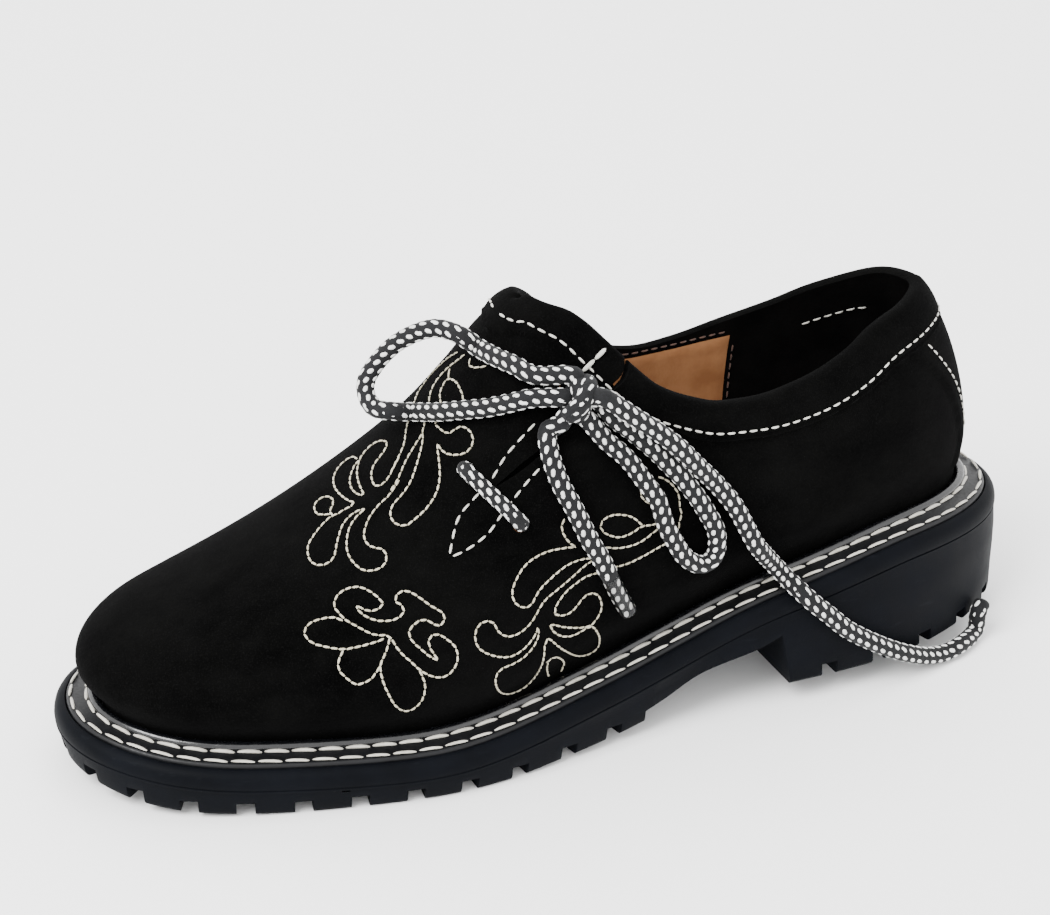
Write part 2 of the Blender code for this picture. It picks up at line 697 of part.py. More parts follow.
def collar_line():
    """The collar's edge, from the throat round the back to the throat."""
    line = []
    for side in ("lateral", "medial"):
        half = []
        for angle in shoe_angles():
            station = last_station(angle, side)
            if station["share"] < THROAT_SHARE:
                half.append(arch_point(station, collar_angle(station, side)))
        throat = place(THROAT_SHARE)
        half.append(np.array([spine(THROAT_SHARE)[0], throat, float(crest(THROAT_SHARE))]))
        line += half[::-1] if side == "lateral" else half
    return np.array(line)


def distance_to_line(point, line):
    start, stop = line[:-1], line[1:]
    run = stop - start
    t = np.clip(((point - start) * run).sum(1) / np.maximum((run * run).sum(1), 1e-12), 0, 1)
    return float(np.linalg.norm(start + run * t[:, None] - point, axis=1).min())


def soft_step(value, low, high):
    t = min(max((value - low) / (high - low), 0.0), 1.0)
    return t * t * (3 - 2 * t)


def overlay(point, edge):
    """How much thicker the wall is at a point: the collar band, and the backstay under it."""
    share = share_at(point[1])
    inside = band_width(share) - distance_to_line(point, edge)
    band = BAND_RAISE * soft_step(inside, -BAND_STEP * 0.8, -BAND_STEP * 0.2)
    rise = (point[2] - float(seat(share))) / COLLAR_BACK_HEIGHT
    half = float(smooth(BACKSTAY, "half_width", rise, "height")) * SOLE_WIDTH
    aside = abs(point[0] - spine(0.0)[0])
    stay = 0.0
    if share < HEEL_CENTRE:
        stay = BACKSTAY_RAISE * soft_step(half - aside, -STAY_EDGE_OUT, STAY_EDGE_IN)
    if rise * COLLAR_BACK_HEIGHT < FOOT_RISE + OVERLAY_START:
        return 0.0
    return max(band, stay)


def make_upper(parts, cutters):
    angles = shoe_angles()
    columns = [section_rows(a, "lateral") for a in angles]
    columns += [section_rows(a, "medial") for a in reversed(angles[1:-1])]
    edge = collar_line()
    build = bmesh.new()
    weight = build.verts.layers.deform.verify()
    grid = []
    for column in columns:
        line = []
        for point in column:
            vertex = build.verts.new(point)
            vertex[weight][0] = (WALL + overlay(point, edge)) / (WALL + BAND_RAISE)
            line.append(vertex)
        grid.append(line)
    count = len(grid)
    for i in range(count):
        j = (i + 1) % count
        for k in range(len(grid[0]) - 1):
            build.faces.new((grid[i][k], grid[j][k], grid[j][k + 1], grid[i][k + 1]))
    bmesh.ops.remove_doubles(build, verts=build.verts, dist=0.00002)
    bmesh.ops.dissolve_degenerate(build, edges=build.edges, dist=0.00001)
    bmesh.ops.recalc_face_normals(build, faces=build.faces)
    mesh = bpy.data.meshes.new("upper")
    build.to_mesh(mesh)
    build.free()
    middle = max(mesh.polygons, key=lambda face: face.center.x)
    if middle.normal.x < 0:
        mesh.flip_normals()
    upper = add_object("upper", mesh, material("suede", (0.012, 0.012, 0.013), 0.95), parts, 40)
    group = upper.vertex_groups.new(name="wall")
    shell = upper.modifiers.new("wall", "SOLIDIFY")
    shell.thickness = WALL + BAND_RAISE
    shell.offset = 1.0
    shell.vertex_group = group.name
    shell.use_even_offset = True
    shell.thickness_clamp = 0.0
    boolean(upper, make_slit(cutters))
    boolean(upper, make_holes(cutters))
    return upper


def surface_point(share, height, side="lateral"):
    """The point of the last at one share along the shoe and one height, and the wall's outward normal."""

    def at(share_now, height_now):
        station = last_station(float(turn(share_now)), side)
        low, high = 0.0, math.pi / 2
        for _ in range(40):
            middle = (low + high) / 2
            if arch_point(station, middle)[2] < height_now:
                low = middle
            else:
                high = middle
        return arch_point(station, low)

    here = at(share, height)
    along = at(share - NORMAL_SHARE_STEP, height) - here
    up = at(share, height - NORMAL_HEIGHT_STEP) - here
    normal = np.cross(along, up)
    normal /= np.linalg.norm(normal)
    if normal[0] < 0 and side == "lateral":
        normal = -normal
    return here, normal


def make_slit(cutters):
    """A thin curved blade through the wall, from over the collar down and forward."""
    count = 15
    shares = np.linspace(SLIT["share"][0], SLIT["share"][-1], count)
    points = []
    normals = []
    for share in shares:
        height = float(smooth(SLIT, "height", share)) * INSTEP_HEIGHT
        here, normal = surface_point(share, height)
        points.append(here)
        normals.append(normal)
    build = bmesh.new()
    rows = []
    for i in range(count):
        run = points[min(i + 1, count - 1)] - points[max(i - 1, 0)]
        run /= np.linalg.norm(run)
        across = np.cross(normals[i], run)
        half = SLIT_WIDTH / 2
        row = []
        for deep, wide in ((-BLADE_INSIDE, -half), (-BLADE_INSIDE, half), (BLADE_OUTSIDE, half),
                           (BLADE_OUTSIDE, -half)):
            row.append(build.verts.new(points[i] + normals[i] * deep + across * wide))
        rows.append(row)
    for before, after in zip(rows[:-1], rows[1:]):
        for i in range(4):
            j = (i + 1) % 4
            build.faces.new((before[i], before[j], after[j], after[i]))
    build.faces.new(rows[0][::-1])
    build.faces.new(rows[-1])
    bmesh.ops.recalc_face_normals(build, faces=build.faces)
    mesh = bpy.data.meshes.new("slit_cutter")
    build.to_mesh(mesh)
    build.free()
    return add_object("slit_cutter", mesh, None, cutters)


def hole_axes():
    """The inner end and the outward direction of each lace hole."""
    return [surface_point(share, height * INSTEP_HEIGHT) for share, height in zip(HOLES["share"], HOLES["height"])]


def make_holes(cutters):
    """Punched lace holes, square to the wall."""
    build = bmesh.new()
    for here, normal in hole_axes():
        turned = Vector(normal).to_track_quat("Z", "Y").to_matrix().to_4x4()
        turned.translation = Vector(here)
        bmesh.ops.create_cone(build, cap_ends=True, segments=14, radius1=HOLE_DIAMETER / 2,
                              radius2=HOLE_DIAMETER / 2, depth=DRILL_LENGTH, matrix=turned)
    mesh = bpy.data.meshes.new("hole_cutter")
    build.to_mesh(mesh)
    build.free()
    return add_object("hole_cutter", mesh, None, cutters)


def rounded(corners, radius, steps=4):
    """A path through corner points, turned on a radius at each."""
    path = [corners[0]]
    for before, corner, after in zip(corners[:-2], corners[1:-1], corners[2:]):
        back = (before - corner) / np.linalg.norm(before - corner)
        ahead = (after - corner) / np.linalg.norm(after - corner)
        half = math.acos(float(np.clip(back @ ahead, -1, 1))) / 2
        middle = (back + ahead) / np.linalg.norm(back + ahead)
        centre = corner + middle * radius / math.sin(half)
        first = corner + back * radius / math.tan(half) - centre
        last = corner + ahead * radius / math.tan(half) - centre
        swing = math.pi - 2 * half
        for i in range(steps + 1):
            t = i / steps
            spoke = first * math.sin((1 - t) * swing) + last * math.sin(t * swing)
            path.append(centre + spoke / math.sin(swing))
    path.append(corners[-1])
    return path


def smooth_route(rows, spacing):
    """Points at an even spacing on the smooth curve through a route's points."""
    points = np.column_stack((rows["across"] * SOLE_WIDTH, place(rows["share"]), rows["height"] * INSTEP_HEIGHT))
    ends = np.vstack((2 * points[0] - points[1], points, 2 * points[-1] - points[-2]))
    curve = []
    for a, b, c, d in zip(ends[:-3], ends[1:-2], ends[2:-1], ends[3:]):
        for t in np.linspace(0, 1, 12, endpoint=False):
            bend = (2 * a - 5 * b + 4 * c - d) * t * t + (3 * b - a - 3 * c + d) * t ** 3
            curve.append(b + ((c - a) * t + bend) / 2)
    curve = np.array(curve + [points[-1]])
    run = np.r_[0, np.cumsum(np.linalg.norm(np.diff(curve, axis=0), axis=1))]
    stops = np.linspace(0, run[-1], int(round(run[-1] / spacing)) + 1)
    return np.column_stack([np.interp(stops, run, curve[:, k]) for k in range(3)])


def make_cord(name, points, finish, parts):
    """A round cord of one open run of points, with closed ends."""
    curve = bpy.data.curves.new(name, "CURVE")
    curve.dimensions = "3D"
    run = curve.splines.new("POLY")
    run.points.add(len(points) - 1)
    for slot, point in zip(run.points, points):
        slot.co = (*point, 1.0)
    curve.bevel_depth = CORD_DIAMETER / 2
    curve.bevel_resolution = 2
    curve.use_fill_caps = True
    curve.twist_mode = "MINIMUM"
    made = bpy.data.objects.new(name, curve)
    parts.objects.link(made)
    curve.materials.append(finish)
    return made


def make_lace(parts):
    """The lace: bars through the four holes, then the bow's knot, loops and ends."""
    finish = material("lace", (0.030, 0.030, 0.032), 0.8)
    lower_front, lower_rear, upper_front, upper_rear = hole_axes()

    def over(hole, lift):
        return hole[0] + hole[1] * (WALL + lift)

    def under(hole):
        return hole[0] - hole[1] * BAR_SINK

    corners = [over(upper_front, -CORD_END_DROP), under(upper_front), under(lower_front), over(lower_front, BAR_LIFT),
               over(lower_rear, BAR_LIFT), under(lower_rear), under(upper_rear), over(upper_rear, -CORD_END_DROP)]
    make_cord("lace_bars", rounded(corners, BAR_BEND), finish, parts)
    for name, rows in (("lace_knot", KNOT), ("lace_loop_front", LOOP_FRONT), ("lace_loop_rear", LOOP_REAR),
                       ("lace_tail_short", TAIL_SHORT), ("lace_tail_long", TAIL_LONG)):
        spacing = CORD_DIAMETER * (0.5 if name == "lace_knot" else 1.2)
        make_cord(name, smooth_route(rows, spacing), finish, parts)


def main():
    clean_scene()
    parts = bpy.data.collections.new("folk_shoe")
    cutters = bpy.data.collections.new("cutters")
    for collection in (parts, cutters):
        bpy.context.scene.collection.children.link(collection)
    make_sole(parts, cutters)
    make_welt(parts)
    make_insole(parts)
    make_upper(parts, cutters)
    make_lace(parts)
    for item in cutters.objects:
        item.hide_render = True
        item.display_type = "WIRE"


main()
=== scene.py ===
"""Looks of a left side-laced folk shoe: suede upper, embroidery, welt, lugged sole and braided lace.

Metres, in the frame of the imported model: +X lateral, -Y toe, +Z up, floor at zero.
"""

import math

import bmesh
import bpy
import numpy as np
from mathutils import Matrix, Vector
from mathutils.bvhtree import BVHTree


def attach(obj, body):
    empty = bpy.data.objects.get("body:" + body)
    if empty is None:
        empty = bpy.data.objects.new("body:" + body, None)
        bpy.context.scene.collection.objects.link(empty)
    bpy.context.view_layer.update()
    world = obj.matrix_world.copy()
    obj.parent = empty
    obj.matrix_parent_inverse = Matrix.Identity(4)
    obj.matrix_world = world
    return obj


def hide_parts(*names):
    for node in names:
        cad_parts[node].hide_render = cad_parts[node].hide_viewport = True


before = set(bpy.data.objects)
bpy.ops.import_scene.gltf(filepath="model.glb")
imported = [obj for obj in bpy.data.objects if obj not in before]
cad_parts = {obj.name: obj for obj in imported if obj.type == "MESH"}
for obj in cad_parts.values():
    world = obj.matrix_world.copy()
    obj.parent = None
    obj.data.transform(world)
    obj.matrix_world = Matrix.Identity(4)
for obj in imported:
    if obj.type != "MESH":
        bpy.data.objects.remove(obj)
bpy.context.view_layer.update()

# Camera that matches the photograph
CAMERA_AZIMUTH = 66.02
CAMERA_ELEVATION = 27.36
CAMERA_ROLL = 0.472
CAMERA_DISTANCE = 0.98897
CAMERA_TARGET = Vector((-0.0731, 0.02455, 0.03299))
PHOTO_WIDTH = 1050
PHOTO_HEIGHT = 915
FOCAL_PIXELS = 3123.7
SENSOR_WIDTH = 36.0


def camera_axes():
    azimuth, elevation, roll = (math.radians(v) for v in (CAMERA_AZIMUTH, CAMERA_ELEVATION, CAMERA_ROLL))
    flat = math.cos(elevation)
    back = Vector((math.sin(azimuth) * flat, -math.cos(azimuth) * flat, math.sin(elevation)))
    right = Vector((math.cos(azimuth), math.sin(azimuth), 0.0))
    up = back.cross(right)
    turned_right = right * math.cos(roll) + up * math.sin(roll)
    turned_up = -right * math.sin(roll) + up * math.cos(roll)
    return turned_right, turned_up, back


RIGHT, UP, BACK = camera_axes()
EYE = CAMERA_TARGET + BACK * CAMERA_DISTANCE


def make_camera():
    data = bpy.data.cameras.new("camera")
    data.sensor_width = SENSOR_WIDTH
    data.sensor_fit = "HORIZONTAL"
    data.lens = FOCAL_PIXELS / PHOTO_WIDTH * SENSOR_WIDTH
    data.clip_start = 0.05
    data.clip_end = 20.0
    camera = bpy.data.objects.new("camera", data)
    matrix = Matrix((RIGHT, UP, BACK)).transposed().to_4x4()
    matrix.translation = EYE
    camera.matrix_world = matrix
    bpy.context.scene.collection.objects.link(camera)
    bpy.context.scene.camera = camera


def ray(spot):
    """Direction from the eye through a spot in the photograph."""
    across = (spot[0] - PHOTO_WIDTH / 2) / FOCAL_PIXELS
    down = (spot[1] - PHOTO_HEIGHT / 2) / FOCAL_PIXELS
    return (RIGHT * across - UP * down - BACK).normalized()


def table(columns, rows):
    """A short table: each named column becomes an array."""
    return dict(zip(columns.split(), np.array(rows, float).T))


# Sizes of the model, in metres
SOLE_LENGTH = 0.298
SOLE_WIDTH = 0.104
HEEL_HEIGHT = 0.0437
INSTEP_HEIGHT = 0.1265
COLLAR_BACK_HEIGHT = 0.110
TOE_SPRING = 0.0075
LUG_DEPTH = 0.0045
LUG_GAP = 0.0052
LUG_PITCH = 0.0155
HEEL_LUG_PITCH = 0.0165
CHANNEL_INSET = 0.0115
CHANNEL_WIDTH = 0.0045
BREAST_SHARE = 0.303
WAIST_SHARE = 0.455
RIM_WIDTH = 0.0034
RIM_DROP = 0.0011
WALL = 0.0024
BAND_RAISE = 0.0012
BACKSTAY_RAISE = 0.0009
FIT_GAP = 0.0003
WELT_THICKNESS = 0.0028
WELT_WIDTH = 0.0091
WELT_BEAD = 0.0029
FOOT_RISE = 0.0028
INSOLE_THICKNESS = 0.0035
SLIT_WIDTH = 0.0016
HOLE_DIAMETER = 0.0058
CORD_DIAMETER = 0.0051
CORD_END_DROP = 0.0004
BAR_LIFT = 0.0048
BAR_SINK = 0.0044
BAR_BEND = 0.0038

# How far the cutting tools reach past what they cut
TOOL_FLOOR = -0.010
TOOL_OVERHANG = 0.004
BLADE_INSIDE = 0.006
BLADE_OUTSIDE = 0.010
DRILL_LENGTH = 0.016

# Steps along and up the last that give the wall's normal
NORMAL_SHARE_STEP = 0.004
NORMAL_HEIGHT_STEP = 0.0015

# The overlays start this far over the welt's own rise
OVERLAY_START = 0.004

# How far the last's foot lies inside the sole's edge
FOOT_INSET = RIM_WIDTH + FIT_GAP + WELT_WIDTH + FIT_GAP + WALL

# Shares along the length, from the heel
HEEL_CENTRE = 0.15
TOE_CENTRE = 0.86
THROAT_SHARE = 0.53
BACK_SHARE = 0.13
LACING_SHARE = 0.42
VAMP_SHARE = 0.60

# The breast's height and curve, and where the tread's channels and lugs start and stop
BREAST_RISE = 0.006
BREAST_CURVE_SHARE = 0.010
WAIST_END_SHARE = WAIST_SHARE + 0.006
FORE_CHANNEL_SHARE = WAIST_SHARE + 0.075
HEEL_CHANNEL_SHARE = BREAST_SHARE - 0.03
LUG_MARGIN_SHARE = 0.012
CROSS_START_SHARE = WAIST_SHARE + 0.085
CROSS_END_SHARE = 0.94
CROSS_PITCH = LUG_PITCH * 1.25
NOTCH_REACH = CHANNEL_INSET + CHANNEL_WIDTH * 0.4
CROSS_INSET = CHANNEL_INSET + CHANNEL_WIDTH * 0.6

# The outsole's side at its flattest: inset from the outline and share of the way from tread to seat
SOLE_SIDE_INSET = 0.0008
SOLE_SIDE_SHARE = 0.45

# Half widths of the sole, as shares of its width
OUTLINE = table("share lateral medial", [
    (0.000, -0.019, -0.019),
    (0.012, 0.111, -0.147),
    (0.045, 0.221, -0.260),
    (0.120, 0.335, -0.329),
    (0.220, 0.394, -0.317),
    (0.340, 0.400, -0.285),
    (0.450, 0.425, -0.306),
    (0.560, 0.474, -0.396),
    (0.660, 0.500, -0.478),
    (0.760, 0.458, -0.500),
    (0.850, 0.393, -0.462),
    (0.920, 0.315, -0.392),
    (0.970, 0.195, -0.272),
    (1.000, -0.035, -0.035)])

# Height of the welt's stitched face, as a share of the heel height
SEAT = table("share height", [
    (0.00, 0.950), (0.15, 0.995), (0.30, 0.829), (0.50, 0.496), (0.70, 0.330), (0.85, 0.366), (1.00, 0.478)])

# How far the foot of the heel stands out, as a share of the heel height
FLARE = table("share lateral medial", [
    (0.00, 0.036, 0.036), (0.10, 0.080, 0.045), (0.20, 0.105, 0.045), (0.33, 0.105, 0.040), (0.42, 0.0, 0.0),
    (1.00, 0.0, 0.0)])

# Height of the tread over the floor, as a share of the toe spring
TREAD = table("share height", [
    (0.40, 0.90), (0.455, 0.60), (0.50, 0.33), (0.56, 0.13), (0.62, 0.0), (0.80, 0.0),
    (0.88, 0.11), (0.94, 0.33), (1.00, 0.80)])

# Underside of the waist, as a share of the heel height
WAIST = table("share height", [
    (0.260, 0.640), (0.300, 0.570), (0.333, 0.490), (0.400, 0.375), (0.440, 0.250), (0.470, 0.170),
    (0.500, 0.020)])

# The last: its crest over the floor as a share of the instep height, its crest line as a share of the
# sole's width, and the fullness of its arch
LAST = table("share crest line fullness", [
    (0.00, 0.895, -0.020, 1.65),
    (0.15, 0.930, -0.018, 1.92),
    (0.30, 0.966, 0.002, 2.0),
    (0.45, 0.992, 0.004, 2.0),
    (0.50, 0.992, 0.002, 2.0),
    (0.53, 0.972, 0.000, 2.0),
    (0.55, 0.938, -0.002, 2.0),
    (0.58, 0.850, -0.006, 2.0),
    (0.62, 0.745, -0.010, 2.0),
    (0.69, 0.614, -0.014, 2.0),
    (0.75, 0.525, -0.018, 2.0),
    (0.82, 0.443, -0.022, 2.05),
    (0.87, 0.397, -0.025, 2.15),
    (0.93, 0.366, -0.025, 2.25),
    (1.00, 0.336, -0.025, 2.3)])

# Where the last is widest: how far inside the sole's edge, as shares of the sole's width, and how high
# over the welt, as a share of the heel height
SIDE = table("share lateral medial rise", [
    (0.00, 0.142, 0.142, 0.36),
    (0.15, 0.110, 0.095, 0.40),
    (0.35, 0.070, 0.030, 0.46),
    (0.50, 0.070, 0.040, 0.48),
    (0.65, 0.075, 0.070, 0.42),
    (0.80, 0.085, 0.085, 0.34),
    (1.00, 0.090, 0.090, 0.30)])

# Height of the collar's edge, as a share of its height at the back
COLLAR = table("share lateral medial", [
    (0.080, 0.985, 0.985),
    (0.120, 0.988, 0.972),
    (0.150, 0.980, 0.950),
    (0.190, 0.958, 0.925),
    (0.220, 0.926, 0.898),
    (0.280, 0.884, 0.862),
    (0.330, 0.868, 0.834),
    (0.365, 0.873, 0.826),
    (0.400, 0.902, 0.842),
    (0.430, 0.942, 0.910),
    (0.450, 0.990, 0.950),
    (0.474, 1.058, 0.996),
    (0.490, 1.099, 1.036),
    (0.505, 1.121, 1.076),
    (0.520, 1.128, 1.110),
    (0.530, 1.130, 1.130)])

# Width of the collar band under the edge, in metres
BAND = table("share width", [
    (0.00, 0.0133), (0.15, 0.0136), (0.22, 0.0134), (0.28, 0.0126), (0.35, 0.0113), (0.43, 0.0111),
    (0.50, 0.0118), (0.53, 0.0114), (1.00, 0.0114)])

# Half width of the backstay, as a share of the sole's width, by height over the welt as a share of the
# collar's height at the back
BACKSTAY = table("height half_width", [
    (0.00, 0.110), (0.15, 0.125), (0.30, 0.155), (0.45, 0.200), (0.60, 0.230)])

# Middle line of the side slit: share along the shoe and height, as a share of the instep height
SLIT = table("share height", [
    (0.452, 0.905), (0.465, 0.850), (0.479, 0.832), (0.503, 0.804), (0.535, 0.763), (0.557, 0.725),
    (0.580, 0.687), (0.596, 0.662)])

# Lace holes, as the slit: lower front, lower rear, upper front, upper rear
HOLES = table("share height", [(0.617, 0.682), (0.582, 0.589), (0.533, 0.852), (0.492, 0.755)])

# Middle lines of the lace's free strands: share along the shoe, across as a share of the sole's width and
# height as a share of the instep height
KNOT = table("share across height", [
    (0.512, 0.284, 0.872), (0.512, 0.304, 0.882), (0.514, 0.326, 0.885), (0.518, 0.345, 0.880),
    (0.523, 0.357, 0.869), (0.528, 0.358, 0.854), (0.532, 0.349, 0.839), (0.533, 0.332, 0.827),
    (0.532, 0.310, 0.821)])

LOOP_FRONT = table("share across height", [
    (0.523, 0.289, 0.900), (0.555, 0.245, 0.898), (0.568, 0.191, 0.909), (0.577, 0.127, 0.909),
    (0.584, 0.055, 0.909), (0.598, 0.038, 0.937), (0.609, 0.000, 0.944), (0.619, -0.029, 0.941),
    (0.633, -0.063, 0.921), (0.648, -0.087, 0.894), (0.662, -0.101, 0.858), (0.675, -0.101, 0.816),
    (0.679, -0.077, 0.787), (0.676, -0.038, 0.768), (0.664, 0.005, 0.771), (0.643, 0.005, 0.759),
    (0.628, 0.084, 0.782), (0.612, 0.145, 0.803), (0.596, 0.194, 0.819), (0.576, 0.245, 0.843),
    (0.564, 0.273, 0.857), (0.539, 0.306, 0.860)])

LOOP_REAR = table("share across height", [
    (0.519, 0.334, 0.818), (0.498, 0.345, 0.751), (0.484, 0.356, 0.718), (0.474, 0.363, 0.689),
    (0.466, 0.371, 0.659), (0.457, 0.378, 0.626), (0.449, 0.383, 0.594), (0.445, 0.388, 0.559),
    (0.440, 0.392, 0.523), (0.432, 0.395, 0.486), (0.422, 0.395, 0.445), (0.408, 0.393, 0.416),
    (0.396, 0.392, 0.412), (0.387, 0.389, 0.429), (0.385, 0.387, 0.462), (0.388, 0.385, 0.498),
    (0.396, 0.381, 0.535), (0.404, 0.378, 0.569), (0.413, 0.372, 0.602), (0.423, 0.366, 0.636),
    (0.435, 0.360, 0.669), (0.447, 0.352, 0.703), (0.460, 0.344, 0.734), (0.473, 0.333, 0.764),
    (0.489, 0.334, 0.798), (0.506, 0.317, 0.852)])

TAIL_SHORT = table("share across height", [
    (0.541, 0.322, 0.803), (0.553, 0.315, 0.791), (0.555, 0.333, 0.761), (0.553, 0.356, 0.719),
    (0.548, 0.379, 0.675), (0.540, 0.396, 0.633), (0.532, 0.407, 0.588), (0.524, 0.417, 0.542),
    (0.515, 0.420, 0.504), (0.506, 0.425, 0.455), (0.496, 0.424, 0.402), (0.484, 0.421, 0.347)])

TAIL_LONG = table("share across height", [
    (0.507, 0.372, 0.871), (0.494, 0.375, 0.848), (0.474, 0.381, 0.809), (0.451, 0.383, 0.765),
    (0.428, 0.386, 0.714), (0.408, 0.380, 0.659), (0.389, 0.372, 0.609), (0.375, 0.378, 0.567),
    (0.365, 0.383, 0.532), (0.356, 0.385, 0.490), (0.342, 0.387, 0.427), (0.317, 0.347, 0.354),
    (0.303, 0.360, 0.313), (0.295, 0.412, 0.292), (0.283, 0.430, 0.262), (0.266, 0.437, 0.224),
    (0.249, 0.442, 0.184), (0.230, 0.444, 0.151), (0.214, 0.444, 0.126), (0.196, 0.439, 0.099),
    (0.176, 0.433, 0.073), (0.151, 0.416, 0.044), (0.125, 0.395, 0.026), (0.100, 0.373, 0.026),
    (0.071, 0.320, 0.026), (0.067, 0.313, 0.068), (0.060, 0.299, 0.088)])

# Colours, linear
SUEDE_DARK = (0.0005, 0.0005, 0.0005)
SUEDE_LIGHT = (0.0020, 0.0020, 0.0019)
SUEDE_FIBRE = (0.0056, 0.0055, 0.0054)
RUBBER_DARK = (0.0010, 0.0013, 0.0021)
RUBBER_LIGHT = (0.0022, 0.0027, 0.0041)
RUBBER_SCUFF = (0.0120, 0.0135, 0.0170)
LACE_DARK = (0.0008, 0.0009, 0.0012)
LACE_LIGHT = (0.0036, 0.0038, 0.0050)
TAN_DARK = (0.215, 0.092, 0.036)
TAN_LIGHT = (0.320, 0.152, 0.066)

# Light: place, power and size of each lamp
WORLD_STRENGTH = 2.6
LIGHTS = {
    "key": ((0.7, -1.5, 1.9), 120.0, 1.3),
    "fill": ((1.6, 0.9, 1.0), 4.0, 1.6),
    "rim": ((-1.3, 0.6, 1.7), 16.0, 1.2)}

LINING_DARK = (0.0010, 0.0010, 0.0011)
LINING_LIGHT = (0.0028, 0.0027, 0.0027)
WELT_DARK = (0.0015, 0.0016, 0.0020)
WELT_LIGHT = (0.0040, 0.0042, 0.0052)
BEAD_LIGHT = (0.0030, 0.0032, 0.0040)

# Threads: colour and shade
OFF_WHITE = ((0.56, 0.55, 0.50), (0.36, 0.35, 0.31))
CREAM = ((0.50, 0.46, 0.35), (0.31, 0.28, 0.19))
WAXED = ((0.54, 0.52, 0.46), (0.34, 0.32, 0.27))
BROWN = ((0.060, 0.022, 0.010), (0.035, 0.012, 0.006))
LACE_WHITE = ((0.74, 0.74, 0.72), (0.52, 0.52, 0.50))

# Running stitches: length, gap and thread radius
BAND_STITCH = (0.0025, 0.0010, 0.00034)
STAY_STITCH = (0.0025, 0.0010, 0.00032)
SLIT_STITCH = (0.0026, 0.0012, 0.00033)
EMBROIDERY_STITCH = (0.0019, 0.00018, 0.00031)
LINING_STITCH = (0.0022, 0.0010, 0.00030)
BAR_RADIUS = 0.00062
BAR_STITCH_LIFT = 0.0005

# The backstay's stitches: from and to which height over the welt, and how far inside its edge
STAY_LOW = 0.02
STAY_HIGH = 0.088
STAY_SEAT_SHARE = 0.02
STAY_STITCH_INSET = 0.0016

# Stitches and picks
STITCH_MARGIN = 0.0010
WELT_OUTER_ROW = 0.0048
WELT_INNER_ROW = 0.0093
WELT_STITCH_PITCH = 0.0075
WELT_ROWS = ((WELT_OUTER_ROW, 0.00047, 0.0067, 0.0), (WELT_INNER_ROW, 0.00064, 0.0069, 0.5))
WELT_BEAD_RADIUS = 0.0016
FLECK_HALF_LENGTH = 0.00108
FLECK_HALF_WIDTH = 0.00064
FLECK_SLANT = 0.16

# How open the holes look, how tight the lace is in them, and how its strands run on into the knot
HOLE_LOOK = 0.88
BAR_TIGHTNESS = 0.80
KNOT_REACH = 0.55
KNOT_CROSS = 0.0028

# The dark strip inside the slit
UNDERLAY_HALF_WIDTH = 0.008
UNDERLAY_GAP = 0.0011
UNDERLAY_BOW = 0.0006

# Rounding of the sole's cut edges, and the height up to which they are rounded
LUG_ROUNDING = 0.0007
LUG_ROUND_TOP = 0.030

# The short tail's tip, under its clear film
TIP_LENGTH = 0.014
TIP_DIAMETER = 0.0046

# Soft troughs (negative) and ridges in the suede: start, middle and end of each in millimetres, depth, width
CREASES = [
    ((30.0, -10.0, 66.0), (34.0, -22.0, 52.0), (38.0, -34.0, 38.0), 0.35, 5.0),
    ((-30.0, -18.0, 62.0), (-34.0, -26.0, 50.0), (-38.0, -36.0, 38.0), -0.35, 5.0),
    ((-20.0, -58.0, 52.0), (0.0, -62.0, 62.0), (22.0, -56.0, 54.0), -0.30, 4.5),
    ((-24.0, -66.0, 46.0), (0.0, -71.0, 56.0), (26.0, -65.0, 47.0), 0.25, 4.5),
    ((38.0, 60.0, 60.0), (42.0, 36.0, 58.0), (41.0, 12.0, 56.0), 0.45, 8.0),
    ((34.0, 92.0, 78.0), (38.0, 70.0, 76.0), (40.0, 48.0, 74.0), -0.35, 6.0),
    ((-36.0, 60.0, 60.0), (-40.0, 36.0, 58.0), (-40.0, 12.0, 56.0), 0.40, 8.0),
    ((20.0, -104.0, 30.0), (28.0, -84.0, 31.0), (34.0, -62.0, 32.0), -0.25, 4.0)]

# Tan patches inside the quarters: first and last share, then shares and heights of the top edge
TAN_PATCHES = {
    "medial": (0.268, 0.505, (0.268, 0.30, 0.33, 0.38, 0.43, 0.505),
               (0.0894, 0.0889, 0.0883, 0.0879, 0.0895, 0.0930)),
    "lateral": (0.268, 0.500, (0.268, 0.33, 0.40, 0.46, 0.500), (0.0860, 0.0860, 0.0870, 0.0890, 0.0900))}

# Spots in the photograph of the band's stitch row that shows on the far wall
FAR_ROW = ((801.7, 324), (816, 319), (835.6, 313), (855, 308), (869.5, 307))

# Spots in the photograph of the stitch rows beside the slit, and of the thick bar tacks
SLIT_ROWS = (
    ((535, 423.6), (521, 438.6), (505, 457), (491.5, 480), (476.6, 496), (459, 516.6),
     (453.6, 535), (449, 558)),
    ((539.7, 468.4), (528, 481), (520, 491), (509, 505), (498.4, 519), (489, 532.7),
     (468.6, 548.8), (449, 558)))
SLIT_BARS = (((605, 349), (594.5, 359.5)), ((594, 360), (583, 371)))

